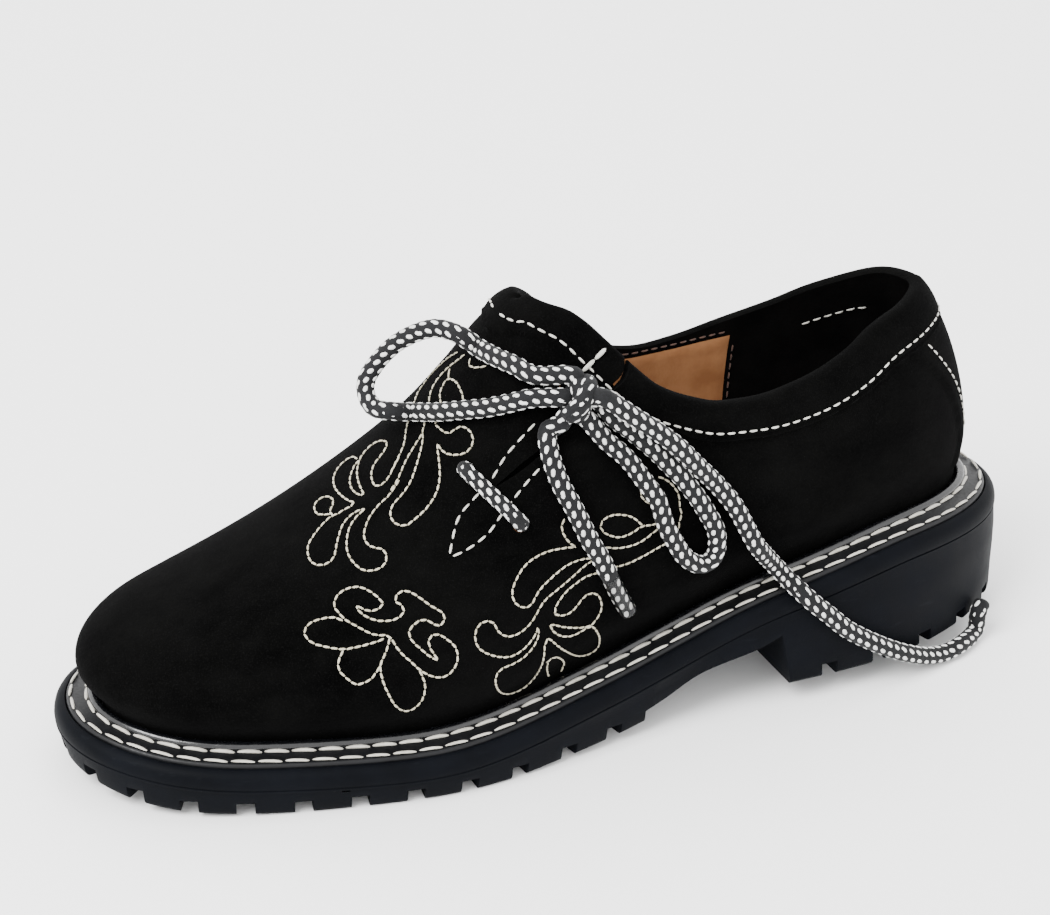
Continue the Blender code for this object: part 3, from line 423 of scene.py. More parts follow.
# Embroidery: each stroke's spots in the photograph
EMBROIDERY = (
    # oval
    ((642.1, 525.4), (635.9, 519.5), (629.6, 515.9), (620.7, 514.6), (611.8, 515), (602.9, 519.5),
     (599.8, 525.7), (602.9, 532), (610, 535.5), (618.9, 537.3), (627.9, 534.6), (635.9, 530.2),
     (642.1, 525.4), (649.3, 525.4), (658.2, 522.5)),
    # under oval
    ((658.2, 528.4), (651.1, 533.8), (645.7, 538.2), (636.8, 543.6), (626.1, 546.8), (615.4, 548),
     (604.6, 547.1)),
    # petal big
    ((564.5, 518.6), (561.4, 524.8), (562.7, 532.9), (567.1, 540), (572.5, 545.4), (577.9, 547.1),
     (568.9, 547.1), (560, 548.6), (549.3, 550.7), (540.4, 554.3), (531.4, 559.6), (524.3, 565.9),
     (518.9, 573.9), (514.5, 582.9), (511.8, 591.8), (513.6, 600.7), (518.9, 606.1), (526.1, 607.5),
     (531.4, 604.3), (535, 597.1), (540.4, 588.2), (547.5, 581.1), (556.4, 573), (565.4, 565.9),
     (574.3, 561.4), (583.2, 558.8), (592.1, 557.9)),
    # hook line
    ((667.1, 542.7), (658.2, 547.1), (649.3, 552.5), (638.6, 558.2), (627.9, 563.2), (617.1, 566.4),
     (610.9, 567.7), (601.1, 571.2), (595.7, 573), (585, 576.6), (576.1, 582.9), (567.1, 590),
     (560, 598.9), (555.5, 606.1), (554.6, 614.1), (560, 615.4), (567.1, 614.1), (574.3, 608.8),
     (579.6, 601.6), (585, 595.4), (592.1, 592.7), (598.4, 595.4), (601.1, 602.5), (601.1, 609.6),
     (597.5, 616.8), (591.2, 624.8), (583.2, 627.1), (572.5, 627.5), (561.8, 626.6), (550.2, 623.9),
     (552.9, 631.1), (560, 635.5), (567.1, 636.4), (576.1, 633.8), (585, 628.4), (591.2, 625.7),
     (596.6, 631.1), (599.3, 638.2), (597.5, 647.1), (591.2, 652.5), (583.2, 655.2), (576.1, 655.2),
     (567.1, 651.6), (558.2, 646.2), (551.1, 640), (547.5, 637.9)),
    # stem
    ((593, 560), (585, 565), (576.1, 573), (567.1, 581.1), (556.4, 590), (545.7, 598.9), (540.4, 606.1),
     (535, 615.9), (529.6, 623.9), (520.7, 632), (510, 636.4), (502, 634.6), (496.6, 629.3),
     (493.9, 623), (487.7, 620.7), (480.5, 623), (476.1, 629.3), (474.8, 638.2), (477.9, 647.1),
     (485, 652.5), (495.7, 656.1), (506.4, 657), (515.4, 654.3), (524.3, 648), (531.4, 640),
     (535.9, 632.9), (537.1, 626.6), (538.6, 632.9), (536.8, 640), (531.4, 648.9), (522.5, 657.9),
     (511.8, 664.1), (501.1, 668.6), (495.7, 675.7), (495.7, 684.6), (500.2, 691.8), (508.2, 693.6),
     (517.1, 690.9), (526.1, 685.5), (535, 675.7), (541.2, 665), (543.9, 654.3), (544.3, 645.4),
     (547.5, 637.9)),
    # small spiral
    ((545.7, 662.3), (551.1, 657.9), (557.3, 656.6), (563.6, 661.4), (562.7, 666.8), (560, 672.1)),
    # small leg
    ((547.5, 662.3), (546.6, 668.6), (548.4, 676.6)),
    # top small
    ((641.2, 488.2), (640.7, 495.4), (645.7, 501.6), (650.2, 503.4)),
    # top curl
    ((658.2, 476.6), (667.1, 480.2), (674.3, 487.3), (678.8, 495.4), (679.3, 506.1), (681.4, 513.2),
     (678.8, 522.1), (678.2, 529.3)),
    # flower outer
    ((385.7, 635.1), (380.2, 635.1), (374.8, 635.1), (369.4, 632.9), (360.7, 628.5), (353.1, 624.2),
     (346.6, 621), (341.2, 615.5), (336.3, 610.1), (333.8, 605.8), (334.7, 600.4), (337.9, 594.9),
     (343.4, 590.6), (349.9, 587.9), (356.4, 586.8), (362.9, 587.9), (369.4, 591.1), (375.9, 595.5),
     (381.3, 600.9), (383.5, 604.7), (380.2, 607.9), (374.8, 610.7), (369.4, 611.2), (364, 609.6),
     (359.1, 606.9), (355.3, 604.7), (356.4, 607.9), (360.7, 612.8), (366.1, 616.6), (372.6, 619.3),
     (379.1, 621), (385.7, 621), (392.2, 620.4), (398.7, 617.7), (403, 613.9), (404.6, 609.6),
     (401.9, 605.2), (396, 602.5), (395.4, 597.1), (398.7, 592.8), (404.1, 590.6), (409.5, 591.7),
     (414.9, 594.4), (420.3, 598.2), (425.8, 602), (432.3, 606.9), (438.8, 610.1), (444.2, 614.5),
     (444.7, 619.9), (442, 624.2), (437.1, 626.4), (432.3, 623.1), (426.8, 619.9), (422.5, 619.3),
     (417.1, 622), (411.7, 626.4), (409, 630.7), (409, 635.1), (411.7, 640.5), (417.1, 645.9),
     (422.5, 650.2), (427.9, 655.1), (432.3, 657.8), (437.7, 660.5), (436.1, 656.7), (431.2, 650.2),
     (429, 644.8), (428.5, 639.4), (431.7, 635.1), (436.6, 634), (442, 635.6), (448.5, 640.5),
     (454, 644.8), (456.7, 650.2), (457.7, 655.7), (456.7, 663.2), (452.9, 669.7), (447.4, 675.2),
     (440.9, 677.3), (434.4, 676.8), (427.9, 674.6), (422.5, 671.4), (418.2, 668.7), (412.8, 663.2),
     (406.3, 657.8), (399.7, 651.3), (394.3, 643.7), (390, 636.1), (385.7, 635.1)),
    # petal left
    ((342.8, 621), (335.8, 617.7), (327.1, 617.7), (318.4, 619.9), (311.9, 622), (306.5, 626.4),
     (304.3, 630.7), (304.9, 636.1), (308.7, 640.5), (315.2, 644.3), (323.9, 646.4), (332.5, 648.1),
     (340.1, 649.1), (346.6, 649.1), (354.2, 647.5), (361.8, 645.9), (369.4, 643.7), (377, 641.6),
     (384.6, 638.3)),
    # petal lower
    ((343.4, 650.2), (341.2, 654.6), (338.5, 660), (337.9, 666.5), (340.1, 671.9), (344.5, 676.3),
     (349.9, 680.6), (354.2, 684.4), (360.7, 683.8), (366.1, 681.7), (371.6, 678.4), (374.8, 674.1),
     (378.1, 669.7), (380.2, 665.4), (383.5, 656.7), (386.7, 650.2), (388.9, 641.6), (390, 637.2)),
    # petal bottom
    ((380.2, 665.4), (380.8, 673), (383.5, 682.8), (386.7, 690.3), (391.1, 699), (395.4, 705.5),
     (400.8, 709.3), (406.3, 710.9), (412.8, 708.8), (418.2, 704.4), (422.5, 699), (424.7, 691.4),
     (425.2, 684.9), (423.6, 679.5), (421.4, 674.1), (419.3, 669.7)),
    # plume left
    ((357.3, 459.4), (353.3, 456.8), (348.2, 459.4), (342, 464), (336.9, 470.6), (333.9, 477.8),
     (333.9, 483.9), (336.9, 491), (343.1, 497.1), (349.2, 501.2), (355.3, 503.3), (350.2, 507.3),
     (345.1, 509.4), (340.5, 513), (332.9, 516), (328.8, 518.6), (323.7, 523.7), (317.6, 530.8),
     (312.4, 538), (308.4, 545.1), (307.9, 552.2), (309.4, 559.4), (313.5, 564), (318.6, 565.5),
     (324.7, 565), (329.8, 562.4), (333.9, 558.4), (335.9, 550.2), (337.4, 542), (339.5, 534.9),
     (342, 526.7), (346.1, 520.6), (352.2, 514.5), (358.4, 510.9), (366.5, 508.4), (361.4, 512.4),
     (355.3, 518.6), (350.2, 526.7), (347.7, 534.9), (346.9, 542), (347.1, 550.2), (350.2, 558.4),
     (355.3, 564.5), (361.4, 569.6), (367.6, 571.1), (377.8, 569.6), (384.9, 564.5), (386.9, 557.3),
     (384.9, 551.2), (379.8, 548.2), (372.7, 547.7), (366.5, 543.1), (364, 535.9), (365.5, 527.8),
     (368.6, 519.6), (373.7, 511.4), (380.8, 503.3), (388, 497.1), (394.1, 489), (400, 479.8)),
    # plume spiral
    ((332.9, 516), (329.8, 510.4), (333.9, 504.3), (332.9, 499.2), (327.8, 496.6), (321.6, 498.2),
     (315.5, 503.3), (314.5, 509.4), (317.6, 514.5), (323.7, 515), (330.8, 514.5)),
    # plume inner
    ((360.4, 460.4), (356.3, 463.5), (352.8, 470.6), (350.2, 478.8), (350.7, 485.9), (353.3, 491),
     (357.3, 494.1), (364.5, 496.1), (361.4, 489), (358.4, 480.8), (357.3, 472.7), (358.9, 463.5),
     (361.4, 457.3), (366.5, 450.2), (373.7, 444.1), (380.8, 441), (386.9, 442), (386.9, 447.1),
     (381.8, 455.3), (376.7, 461.4), (372.7, 468.6), (371.6, 476.7), (373.7, 483.9), (376.7, 486.9),
     (383.9, 483.9), (390, 475.7), (394.1, 467.6), (400, 456.3)),
    # stem long lower
    ((390.8, 490.7), (396.6, 482.6), (401.2, 472.3), (405.7, 462), (411.5, 451.6), (417.2, 442.5),
     (423, 433.3)),
    # leaf
    ((423, 433.3), (423.5, 435.6), (422.4, 444.8), (419.5, 456.2), (416.1, 467.7), (412.6, 478),
     (409.2, 484.9), (404.6, 491.8), (398.9, 498.7), (394.3, 503.3), (390.8, 510.2), (390.8, 517.1),
     (394.3, 522.8), (400, 525.7), (408, 525.1), (414.9, 519.4), (423, 512.5), (429.9, 504.4),
     (435.6, 495.3), (439, 484.9), (440.2, 474.6), (439.6, 464.3), (438.5, 453.9), (437.3, 443.6),
     (441.9, 450.5), (448.2, 454.5), (456.2, 455.1), (464.3, 453.9), (470, 449.4), (473.5, 442.5),
     (472.3, 434.4), (467.7, 428.7), (459.7, 426.4), (455.1, 429.8), (450.5, 433.3), (445.9, 433.3),
     (441.3, 429.8), (435.6, 424.7)),
    # stem one lower
    ((390.8, 473.5), (395.4, 464.3), (400, 455.1), (404.6, 443.6), (406.3, 431), (408.6, 421.8)),
    # stem one
    ((408.4, 422.5), (411.1, 412.7), (414.6, 402.9), (418.2, 393), (423.6, 385), (430.7, 375.2),
     (439.6, 366.2), (448.6, 358.2), (458.4, 352.4)),
    # stem two
    ((422.7, 433.2), (426.2, 418), (428.9, 404.6), (430.7, 393.9), (434.3, 385), (441.4, 375.2),
     (448.6, 368), (457.5, 360.9), (465.5, 354.6)),
    # arch
    ((435.2, 424.3), (439.6, 414.5), (441.4, 404.6), (440.1, 394.8), (443.2, 385.9), (448.6, 378.8),
     (456.6, 382.3), (460.2, 388.6), (462.9, 394.8), (463.8, 401.1)),
    # arch top
    ((448.6, 378.8), (449, 374.3), (450.4, 368)),
    # hook
    ((470.9, 358.2), (469.1, 365.4), (475.4, 368), (487, 366.2)))


def smooth(rows, column, value, key="share"):
    """A smooth curve through one column of a table, with no overshoot."""
    x = rows[key]
    y = rows[column]
    step = np.diff(x)
    slope = np.diff(y) / step
    tangent = np.empty(len(x))
    tangent[0] = slope[0]
    tangent[-1] = slope[-1]
    for i in range(1, len(x) - 1):
        if slope[i - 1] * slope[i] <= 0:
            tangent[i] = 0.0
        else:
            before = 2 * step[i] + step[i - 1]
            after = step[i] + 2 * step[i - 1]
            tangent[i] = (before + after) / (before / slope[i - 1] + after / slope[i])
    value = np.clip(np.asarray(value, float), x[0], x[-1])
    i = np.clip(np.searchsorted(x, value, side="right") - 1, 0, len(x) - 2)
    t = (value - x[i]) / step[i]
    rise = y[i] * (1 + 2 * t) * (1 - t) ** 2 + tangent[i] * step[i] * t * (1 - t) ** 2
    return rise + y[i + 1] * t * t * (3 - 2 * t) + tangent[i + 1] * step[i] * t * t * (t - 1)


def run_along(points):
    """The way run along a line up to each of its points."""
    return np.r_[0, np.cumsum(np.linalg.norm(np.diff(points, axis=0), axis=1))]


def spot_at(at, run, values):
    """The point, or direction, at one distance along a line."""
    return np.array([np.interp(at, run, values[:, k]) for k in range(3)])


def finished(build, name):
    """The mesh that was built, under its name."""
    mesh = bpy.data.meshes.new(name)
    build.to_mesh(mesh)
    build.free()
    return mesh


def place(share):
    """Y of a share along the length."""
    return (0.5 - share) * SOLE_LENGTH


def share_at(y):
    return 0.5 - y / SOLE_LENGTH


def turn(share):
    """The angle that spreads the stations round both ends."""
    return np.arccos(1 - 2 * np.asarray(share, float))


def seat(share):
    return smooth(SEAT, "height", share) * HEEL_HEIGHT


def closed_spline(knots, values):
    """Second derivatives of the smooth closed curve through values at knots, over one full turn."""
    count = len(knots)
    step = np.diff(np.append(knots, knots[0] + 2 * math.pi))
    matrix = np.zeros((count, count))
    right = np.zeros(count)
    for i in range(count):
        before = step[i - 1]
        after = step[i]
        matrix[i, (i - 1) % count] += before
        matrix[i, i] += 2 * (before + after)
        matrix[i, (i + 1) % count] += after
        rise = (values[(i + 1) % count] - values[i]) / after
        right[i] = 6 * (rise - (values[i] - values[i - 1]) / before)
    return np.linalg.solve(matrix, right)


HALF_TURNS = turn(OUTLINE["share"])
KNOTS = np.append(HALF_TURNS, 2 * math.pi - HALF_TURNS[-2:0:-1])
KNOT_WIDTHS = np.append(OUTLINE["lateral"], OUTLINE["medial"][-2:0:-1])
KNOT_BENDS = closed_spline(KNOTS, KNOT_WIDTHS)


def outline_width(phase):
    """Half width at a phase of the turn, as a share of the sole's width, and its slope."""
    phase = phase % (2 * math.pi)
    i = int(np.searchsorted(KNOTS, phase, side="right")) - 1
    j = (i + 1) % len(KNOTS)
    step = (KNOTS[j] - KNOTS[i]) % (2 * math.pi)
    t = (phase - KNOTS[i]) / step
    u = 1 - t
    bend = step * step / 6
    width = u * KNOT_WIDTHS[i] + t * KNOT_WIDTHS[j]
    width += bend * ((u ** 3 - u) * KNOT_BENDS[i] + (t ** 3 - t) * KNOT_BENDS[j])
    slope = (KNOT_WIDTHS[j] - KNOT_WIDTHS[i]) / step
    slope += step / 6 * ((3 * t * t - 1) * KNOT_BENDS[j] - (3 * u * u - 1) * KNOT_BENDS[i])
    return width, slope


def phase_of(angle, side):
    return angle if side == "lateral" else 2 * math.pi - angle


def outline_point(angle, side):
    width, _ = outline_width(phase_of(angle, side))
    return np.array([width * SOLE_WIDTH, math.cos(angle) * SOLE_LENGTH / 2])


def edge_normal(angle, side):
    """Outward normal of the sole's outline, in plan."""
    phase = phase_of(angle, side)
    _, slope = outline_width(phase)
    normal = np.array([math.sin(phase) * SOLE_LENGTH / 2, slope * SOLE_WIDTH])
    return normal / np.linalg.norm(normal)


def inset_point(angle, side, inset):
    return outline_point(angle, side) - edge_normal(angle, side) * inset


def ring_stations(count):
    """Stations round the whole outline: lateral side from heel to toe, then back along the medial side."""
    angles = [math.pi * i / count for i in range(count + 1)]
    return [(a, "lateral") for a in angles] + [(a, "medial") for a in reversed(angles[1:-1])]


def ring(stations, inset, height, flare=0.0):
    """A closed ring inside the outline. height is a function of the share along the length, and flare is how
    much of the heel's flare reaches this ring."""
    points = []
    for angle, side in stations:
        lean = float(smooth(FLARE, side, (1 - math.cos(angle)) / 2)) * HEEL_HEIGHT
        x, y = inset_point(angle, side, inset - lean * flare)
        points.append((x, y, float(height(share_at(y)))))
    return points


def loft_rings(name, rings, capped=True):
    """Joins closed rings of equal count. Caps run as ladders between the two sides."""
    build = bmesh.new()
    count = len(rings[0])
    rows = [[build.verts.new(p) for p in points] for points in rings]
    for low, high in zip(rows[:-1], rows[1:]):
        for i in range(count):
            j = (i + 1) % count
            build.faces.new((low[i], low[j], high[j], high[i]))
    if capped:
        half = count // 2
        for row in (rows[0], rows[-1]):
            build.faces.new((row[0], row[1], row[-1]))
            for i in range(1, half - 1):
                build.faces.new((row[i], row[i + 1], row[-i - 1], row[-i]))
            build.faces.new((row[half - 1], row[half], row[half + 1]))
    else:
        for i in range(count):
            j = (i + 1) % count
            build.faces.new((rows[-1][i], rows[-1][j], rows[0][j], rows[0][i]))
    bmesh.ops.recalc_face_normals(build, faces=build.faces)
    return finished(build, name)


def spine(share):
    held = float(np.clip(share, HEEL_CENTRE, TOE_CENTRE))
    return np.array([float(smooth(LAST, "line", held)) * SOLE_WIDTH, place(held)])


def crest(share):
    return smooth(LAST, "crest", share) * INSTEP_HEIGHT


def last_station(angle, side):
    """What the last's half section needs at one station."""
    share = (1 - math.cos(angle)) / 2
    foot = inset_point(angle, side, FOOT_INSET)
    reach = float(smooth(SIDE, side, share)) * SOLE_WIDTH
    wide = inset_point(angle, side, max(reach, WALL))
    base = float(seat(share_at(foot[1])))
    return {
        "share": share,
        "side": side,
        "foot": foot,
        "wide": wide,
        "spine": spine(share),
        "base": base - WELT_THICKNESS,
        "turn_out": base + FOOT_RISE,
        "belly": base + float(smooth(SIDE, "rise", share)) * HEEL_HEIGHT,
        "fullness": float(smooth(LAST, "fullness", share))}


def arch_points(station, angles):
    """Points on the last over its widest line. Angles run from 0 there to a quarter turn at the crest."""
    angles = np.atleast_1d(np.asarray(angles, float))
    power = 2.0 / station["fullness"]
    across = np.maximum(np.cos(angles), 0.0) ** power
    up = np.maximum(np.sin(angles), 0.0) ** power
    plan = station["spine"] + (station["wide"] - station["spine"]) * across[:, None]
    top = crest(share_at(plan[:, 1]))
    return np.column_stack((plan, station["belly"] + (top - station["belly"]) * up))


def side_points(station, t):
    """Points on the last under its widest line. t runs from 0 at the welt to 1."""
    t = np.asarray(t, float)
    ease = t * t * (3 - 2 * t)
    plan = station["foot"] + (station["wide"] - station["foot"]) * ease[:, None]
    return np.column_stack((plan, station["turn_out"] + (station["belly"] - station["turn_out"]) * t))


def section_end(station):
    """The half section's last angle: at the collar's edge, or at the crest in front of the throat."""
    if station["share"] >= THROAT_SHARE:
        return math.pi / 2
    angles = np.linspace(0.0, math.pi / 2, 600)
    points = arch_points(station, angles)
    over = points[:, 2] - smooth(COLLAR, station["side"], share_at(points[:, 1])) * COLLAR_BACK_HEIGHT
    above = np.nonzero(over >= 0)[0]
    if len(above) == 0:
        return math.pi / 2
    i = max(int(above[0]), 1)
    t = over[i - 1] / (over[i - 1] - over[i])
    return float(angles[i - 1] + (angles[i] - angles[i - 1]) * t)


def angles_below(station, end, distances):
    """Angles of the points that lie the given distances under the end of the half section."""
    angles = np.linspace(end, 0.0, 400)
    points = arch_points(station, angles)
    run = run_along(points)
    return np.interp(distances, run, angles)


def distance_to_line(points, line):
    """Distance of each point from a line of points."""
    start, stop = line[:-1], line[1:]
    run = stop - start
    square = np.maximum((run * run).sum(1), 1e-14)
    least = np.empty(len(points))
    for i in range(0, len(points), 2000):
        offset = points[i:i + 2000, None, :] - start[None]
        t = np.clip((offset * run).sum(2) / square, 0, 1)
        gap = offset - run * t[:, :, None]
        least[i:i + 2000] = np.sqrt((gap * gap).sum(2).min(1))
    return least


def soft_step(value, low, high):
    t = np.clip((value - low) / (high - low), 0.0, 1.0)
    return t * t * (3 - 2 * t)


def new_object(name, mesh, finish, smooth_angle=None):
    made = bpy.data.objects.new(name, mesh)
    bpy.context.scene.collection.objects.link(made)
    for item in (finish if isinstance(finish, (list, tuple)) else [finish]):
        mesh.materials.append(item)
    mesh.shade_smooth()
    if smooth_angle:
        mesh.set_sharp_from_angle(angle=math.radians(smooth_angle))
    return made


class Nodes:
    """Short words for building one material's nodes."""

    def __init__(self, name):
        self.material = bpy.data.materials.new(name)
        self.material.use_nodes = True
        self.tree = self.material.node_tree
        self.shader = self.tree.nodes["Principled BSDF"]
        self.place = self.add("ShaderNodeTexCoord").outputs["Object"]

    def add(self, kind, **values):
        made = self.tree.nodes.new(kind)
        for name, value in values.items():
            setattr(made, name, value)
        return made

    def put(self, socket, value):
        if isinstance(value, bpy.types.NodeSocket):
            self.tree.links.new(value, socket)
        else:
            socket.default_value = value

    def noise(self, size, detail=4.0, roughness=0.55, stretch=(1, 1, 1)):
        """Noise with features of about the given size, in metres."""
        spread = self.add("ShaderNodeMapping")
        self.put(spread.inputs["Vector"], self.place)
        spread.inputs["Scale"].default_value = stretch
        made = self.add("ShaderNodeTexNoise")
        self.put(made.inputs["Vector"], spread.outputs["Vector"])
        made.inputs["Scale"].default_value = 1.0 / size
        made.inputs["Detail"].default_value = detail
        made.inputs["Roughness"].default_value = roughness
        return made.outputs["Fac"]

    def math(self, operation, a, b=0.0):
        made = self.add("ShaderNodeMath", operation=operation)
        self.put(made.inputs[0], a)
        self.put(made.inputs[1], b)
        return made.outputs[0]

    def ramp(self, value, low, high, start=0.0, stop=1.0):
        made = self.add("ShaderNodeMapRange")
        self.put(made.inputs["Value"], value)
        made.inputs["From Min"].default_value = low
        made.inputs["From Max"].default_value = high
        made.inputs["To Min"].default_value = start
        made.inputs["To Max"].default_value = stop
        made.clamp = True
        return made.outputs["Result"]

    def blend(self, fac, a, b):
        made = self.add("ShaderNodeMix", data_type="RGBA")
        self.put(made.inputs["Factor"], fac)
        for socket, value in ((made.inputs[6], a), (made.inputs[7], b)):
            self.put(socket, (*value, 1.0) if isinstance(value, tuple) else value)
        return made.outputs[2]

    def bump(self, height, distance, strength=1.0, before=None):
        made = self.add("ShaderNodeBump")
        self.put(made.inputs["Height"], height)
        made.inputs["Distance"].default_value = distance
        made.inputs["Strength"].default_value = strength
        if before is not None:
            self.put(made.inputs["Normal"], before)
        return made.outputs["Normal"]

    def finish(self, **values):
        for name, value in values.items():
            socket = self.shader.inputs[name.replace("_", " ")]
            self.put(socket, (*value, 1.0) if isinstance(value, tuple) and len(value) == 3 else value)
        return self.material


def suede_material():
    n = Nodes("black_suede")
    cloud = n.noise(0.026, 3.0, 0.6)
    brushed = n.noise(0.007, 5.0, 0.7, (1.0, 0.45, 1.0))
    fibre = n.noise(0.00045, 3.0, 0.7)
    grain = n.noise(0.0012, 3.0, 0.6)
    tone = n.math("ADD", n.math("MULTIPLY", cloud, 0.55), n.math("MULTIPLY", brushed, 0.45))
    base = n.blend(n.ramp(tone, 0.36, 0.66), SUEDE_DARK, SUEDE_LIGHT)
    base = n.blend(n.ramp(fibre, 0.52, 0.78, 0.0, 0.55), base, SUEDE_FIBRE)
    normal = n.bump(fibre, 0.00022, 0.9)
    normal = n.bump(grain, 0.00030, 0.6, normal)
    return n.finish(Base_Color=base, Roughness=0.97, Specular_IOR_Level=0.010, Sheen_Weight=0.011,
                    Sheen_Roughness=0.5, Sheen_Tint=(0.62, 0.62, 0.64), Normal=normal)


def leather_material(name, dark, light, roughness=0.45, pore=0.0009, sheen=0.0, gloss=0.5):
    n = Nodes(name)
    cloud = n.noise(0.012, 4.0, 0.6)
    pores = n.noise(pore, 3.0, 0.6)
    base = n.blend(n.ramp(cloud, 0.35, 0.68), dark, light)
    shine = n.ramp(pores, 0.3, 0.7, roughness - 0.07, roughness + 0.12)
    return n.finish(Base_Color=base, Roughness=shine, Normal=n.bump(pores, 0.00012, 0.6), Sheen_Weight=sheen,
                    Specular_IOR_Level=gloss)


def rubber_material():
    n = Nodes("sole_rubber")
    cloud = n.noise(0.018, 4.0, 0.6)
    grit = n.noise(0.0005, 3.0, 0.7)
    scuff = n.noise(0.0045, 5.0, 0.75, (1.0, 0.35, 2.2))
    base = n.blend(n.ramp(cloud, 0.35, 0.7), RUBBER_DARK, RUBBER_LIGHT)
    base = n.blend(n.ramp(scuff, 0.60, 0.78, 0.0, 0.30), base, RUBBER_SCUFF)
    shine = n.ramp(cloud, 0.3, 0.7, 0.50, 0.66)
    normal = n.bump(grit, 0.00010, 0.5)
    return n.finish(Base_Color=base, Roughness=shine, Specular_IOR_Level=0.04, Normal=normal)


def thread_material(name, colour, shade, roughness=0.7):
    n = Nodes(name)
    ply = n.noise(0.0005, 2.0, 0.5)
    tone = n.noise(0.004, 3.0, 0.6)
    base = n.blend(n.ramp(tone, 0.3, 0.7), shade, colour)
    return n.finish(Base_Color=base, Roughness=roughness, Normal=n.bump(ply, 0.00020, 0.7), Sheen_Weight=0.2)


def braid_material():
    n = Nodes("lace_black")
    ply = n.noise(0.0005, 3.0, 0.6)
    base = n.blend(n.ramp(ply, 0.35, 0.7), LACE_DARK, LACE_LIGHT)
    return n.finish(Base_Color=base, Roughness=0.75, Sheen_Weight=0.04, Specular_IOR_Level=0.2,
                    Normal=n.bump(ply, 0.00020, 0.7))


# The stitch: a bead with round ends, along X, in shares of its length and radius
BEAD_ROWS = ((0.03, 0.45), (0.16, 0.86), (0.36, 1.0), (0.64, 1.0), (0.84, 0.86), (0.97, 0.45))
BEAD_SIDES = 6


def beads(name, items, finish, flat=0.75, arch=0.5):
    """Joins many stitches into one piece. Each item is (start, stop, normal, radius)."""
    verts = []
    faces = []
    for start, stop, normal, radius in items:
        run = stop - start
        side = np.cross(run, normal)
        side /= max(np.linalg.norm(side), 1e-9)
        high = np.cross(side, run)
        high /= max(np.linalg.norm(high), 1e-9)
        if high @ normal < 0:
            high = -high
        first = len(verts)
        verts.append(start)
        for share, wide in BEAD_ROWS:
            middle = start + run * share + high * radius * arch * math.sin(math.pi * share)
            for k in range(BEAD_SIDES):
                a = 2 * math.pi * k / BEAD_SIDES
                verts.append(middle + (side * math.cos(a) + high * math.sin(a) * flat) * radius * wide)
        verts.append(stop)
        last = len(verts) - 1
        for r in range(len(BEAD_ROWS) - 1):
            for k in range(BEAD_SIDES):
                j = (k + 1) % BEAD_SIDES
                a = first + 1 + r * BEAD_SIDES
                faces.append((a + k, a + j, a + BEAD_SIDES + j, a + BEAD_SIDES + k))
        for k in range(BEAD_SIDES):
            j = (k + 1) % BEAD_SIDES
            faces.append((first, first + 1 + j, first + 1 + k))
            end = last - BEAD_SIDES
            faces.append((last, end + k, end + j))
    mesh = bpy.data.meshes.new(name)
    mesh.from_pydata([tuple(v) for v in verts], [], faces)
    mesh.update()
    made = new_object(name, mesh, finish)
    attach(made, "root")
    return made


def resample(points, spacing):
    """Points along a line at an even spacing, and the line's length."""
    points = np.asarray(points, float)
    run = run_along(points)
    count = max(int(round(run[-1] / spacing)), 2)
    stops = np.linspace(0, run[-1], count + 1)
    return np.column_stack([np.interp(stops, run, points[:, k]) for k in range(points.shape[1])]), run[-1]


def catmull(points, steps=8):
    """A smooth curve through points of any width."""
    points = np.asarray(points, float)
    ends = np.vstack((2 * points[0] - points[1], points, 2 * points[-1] - points[-2]))
    curve = []
    for a, b, c, d in zip(ends[:-3], ends[1:-2], ends[2:-1], ends[3:]):
        for t in np.linspace(0, 1, steps, endpoint=False):
            bend = (2 * a - 5 * b + 4 * c - d) * t * t + (3 * b - a - 3 * c + d) * t ** 3
            curve.append(b + ((c - a) * t + bend) / 2)
    return np.array(curve + [points[-1]])


def running_stitches(points, normals, stitch, gap, radius, sink=0.3, slant=0.0):
    """Stitches along a line on a surface: length, gap between them, thread radius."""
    points = np.asarray(points, float)
    normals = np.asarray(normals, float)
    run = run_along(points)
    pitch = stitch + gap
    count = max(int(run[-1] / pitch), 1)
    pitch = run[-1] / count
    items = []
    for i in range(count):
        ends = []
        for at in (i * pitch, i * pitch + pitch - gap):
            ends.append(spot_at(at, run, points))
        normal = spot_at((i + 0.5) * pitch, run, normals)
        normal /= max(np.linalg.norm(normal), 1e-9)
        across = np.cross(ends[1] - ends[0], normal)
        across /= max(np.linalg.norm(across), 1e-9)
        lift = normal * radius * (1 - sink) * 0.5
        items.append((ends[0] + lift + across * slant, ends[1] + lift - across * slant, normal, radius))
    return items


def shoe_angles():
    """Stations of the fine upper."""
    heel = np.linspace(0.0, float(turn(BACK_SHARE)), 26)
    quarter = turn(np.linspace(BACK_SHARE, LACING_SHARE, 34))
    throat = turn(np.linspace(LACING_SHARE, VAMP_SHARE, 84))
    vamp = turn(np.linspace(VAMP_SHARE, TOE_CENTRE, 34))
    toe = np.linspace(float(turn(TOE_CENTRE)), math.pi, 28)
    return [float(a) for a in np.concatenate([heel, quarter[1:], throat[1:], vamp[1:], toe[1:]])]


# Rows of the collar band: how far under its lower edge, or over it, in metres, then shares of its width
BAND_EDGE_ROWS = np.array([
    2.6, 1.7, 1.1, 0.7, 0.4, 0.2, 0.0, -0.2, -0.4, -0.7, -1.0, -1.3, -1.7, -2.2]) * 0.001
BAND_SHARE_ROWS = np.array([0.66, 0.54, 0.43, 0.33, 0.25, 0.18, 0.125, 0.085, 0.053, 0.026, 0.008, 0.0])
SIDE_ROW_COUNT = 9
ARCH_ROW_COUNT = 46


def band_width(share):
    return smooth(BAND, "width", share)


